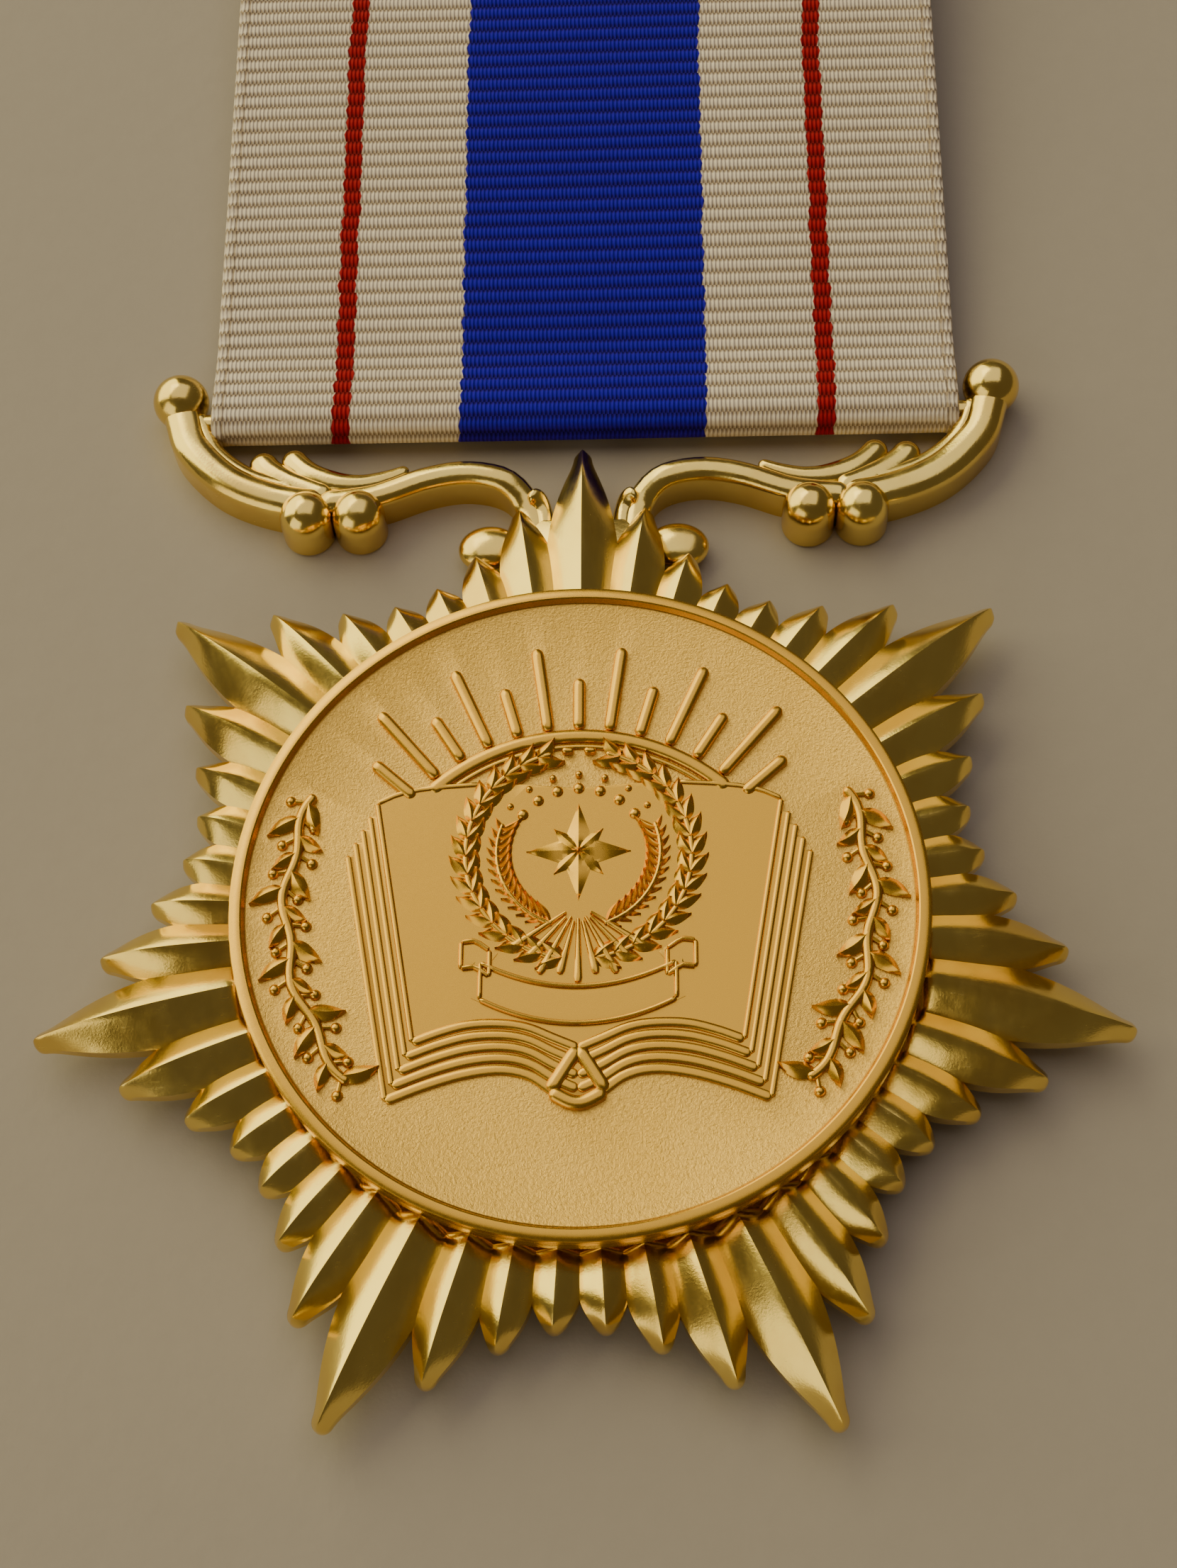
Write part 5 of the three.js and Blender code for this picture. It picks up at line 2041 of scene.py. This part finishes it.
@dataclass
class Studio:
    """The pale floor, the soft lights and the camera."""

    floor_size: float = 1.6
    lens_over_sensor: float = 3288 / 2212
    sensor: float = 36.0
    camera_place: tuple[float, float, float] = (4.22 * MM, -40.0 * MM, 102.65 * MM)
    camera_turns: tuple[float, float, float] = (-25.04, -2.01, 0.81)

    def floor(self, material: bpy.types.Material) -> None:
        """The floor that the medal lies on."""
        deselect()
        bpy.ops.mesh.primitive_plane_add(size=self.floor_size, location=(0, 0, 0))
        floor = renamed(bpy.context.object, "floor")
        floor.data.materials.append(material)

    def light(
        self,
        name: str,
        place: Sequence[float],
        target: Sequence[float],
        size: float,
        power: float,
        colour: Sequence[float],
    ) -> None:
        """A square soft light that looks at a point.

        Args:
            name: the light's name.
            place: where it stands.
            target: what it looks at.
            size: its side.
            power: its power in watts.
            colour: its red, green and blue.
        """
        data = bpy.data.lights.new(name, "AREA")
        data.shape, data.size, data.energy, data.color = "SQUARE", size, power, colour
        lamp = bpy.data.objects.new(name, data)
        lamp.location = place
        lamp.rotation_euler = (Vector(target) - Vector(place)).to_track_quat("-Z", "Y").to_euler()
        bpy.context.scene.collection.objects.link(lamp)

    def lights(self) -> None:
        """A tall window on the upper left, a dim ceiling, a weak rim light and a dim surround."""
        centre = (0, 0.01, 0)
        self.light("window", (-0.58, 0.48, 0.30), centre, 1.15, 10.0, (1.0, 0.94, 0.50))
        self.light("ceiling", (0.0, 0.45, 1.1), centre, 1.5, 6.0, (1.0, 0.93, 0.84))
        self.light("rim", (-0.5, -0.5, 0.24), centre, 0.6, 1.5, (1.0, 0.92, 0.62))
        world = bpy.data.worlds.new("surround")
        bpy.context.scene.world = world
        world.use_nodes = True
        background = world.node_tree.nodes["Background"]
        background.inputs["Color"].default_value = (0.75, 0.62, 0.46, 1)
        background.inputs["Strength"].default_value = 0.13

    def camera(self) -> None:
        """The camera, close over the star's lower edge and looking down and forward."""
        x, y, z = (math.radians(turn) for turn in self.camera_turns)
        seen = Matrix.Rotation(z, 3, "Z") @ Matrix.Rotation(y, 3, "Y") @ Matrix.Rotation(x, 3, "X")
        data = bpy.data.cameras.new("camera")
        data.sensor_width = self.sensor
        data.lens = self.lens_over_sensor * self.sensor
        data.clip_start, data.clip_end = 0.005, 10
        camera = bpy.data.objects.new("camera", data)
        camera.matrix_world = Matrix.Translation(self.camera_place) @ seen.transposed().to_4x4()
        bpy.context.scene.collection.objects.link(camera)
        bpy.context.scene.camera = camera


# ---------- Assembly ----------


def main() -> None:
    """Builds and dresses every sub-assembly in turn."""
    logging.basicConfig(level=logging.INFO, format="%(message)s")
    finishes = Finishes.mixed()

    dress(Star().build(), finishes.polished, Body.PENDANT, ["star"], 28)
    dress(FaceDisc().build(), finishes.struck, Body.PENDANT, ["face_disc"], 32)
    back = BackDisc()
    dress(back.disc(), finishes.satin, Body.PENDANT, ["back_disc"])
    for side in ("left", "right"):
        sizes = {
            "disc_rivet": (back.head_height, back.shank_radius),
            "suspender_rivet": (back.small_head_height, back.small_shank_radius),
        }
        for kind, (head_height, shank) in sizes.items():
            node = f"{kind}_{side}"
            piece = back.rivet(node, f"{kind}_head_{side}", head_height, shank)
            dress(piece, finishes.brass, Body.PENDANT, [node])
    dress(ScrollSuspender().build(), finishes.polished, Body.PENDANT, ["scroll_suspender"], 30)
    lower = rod("ribbon_rod_round", "ribbon_rod", PLACES.rod_radius)
    dress(lower, finishes.polished, Body.PENDANT, ["ribbon_rod"])

    strip = RibbonStrip()
    cloth, length = strip.build()
    dress(cloth, finishes.cloth, Body.RIBBON, ["ribbon"], 60)
    stitches = dress(strip.stitches(), finishes.thread, Body.RIBBON)

    brooch = Brooch()
    dress(brooch.body(), finishes.polished, Body.BROOCH, ["brooch_frame"])
    upper = rod("brooch_rod_round", "brooch_rod", PLACES.rod_radius)
    dress(upper, finishes.polished, Body.BROOCH, ["brooch_rod"])
    dress(brooch.hinge(), finishes.brass, Body.BROOCH, ["pin_hinge_bracket"])
    dress(brooch.hinge_axle(), finishes.brass, Body.BROOCH, ["pin_hinge_rivet"])
    dress(brooch.catch(), finishes.brass, Body.BROOCH, ["pin_catch"])
    dress(brooch.pin(), finishes.brass, Body.PIN, ["pin"])

    studio = Studio()
    studio.floor(finishes.floor)
    studio.lights()
    studio.camera()


if __name__ == "__main__":
    main()
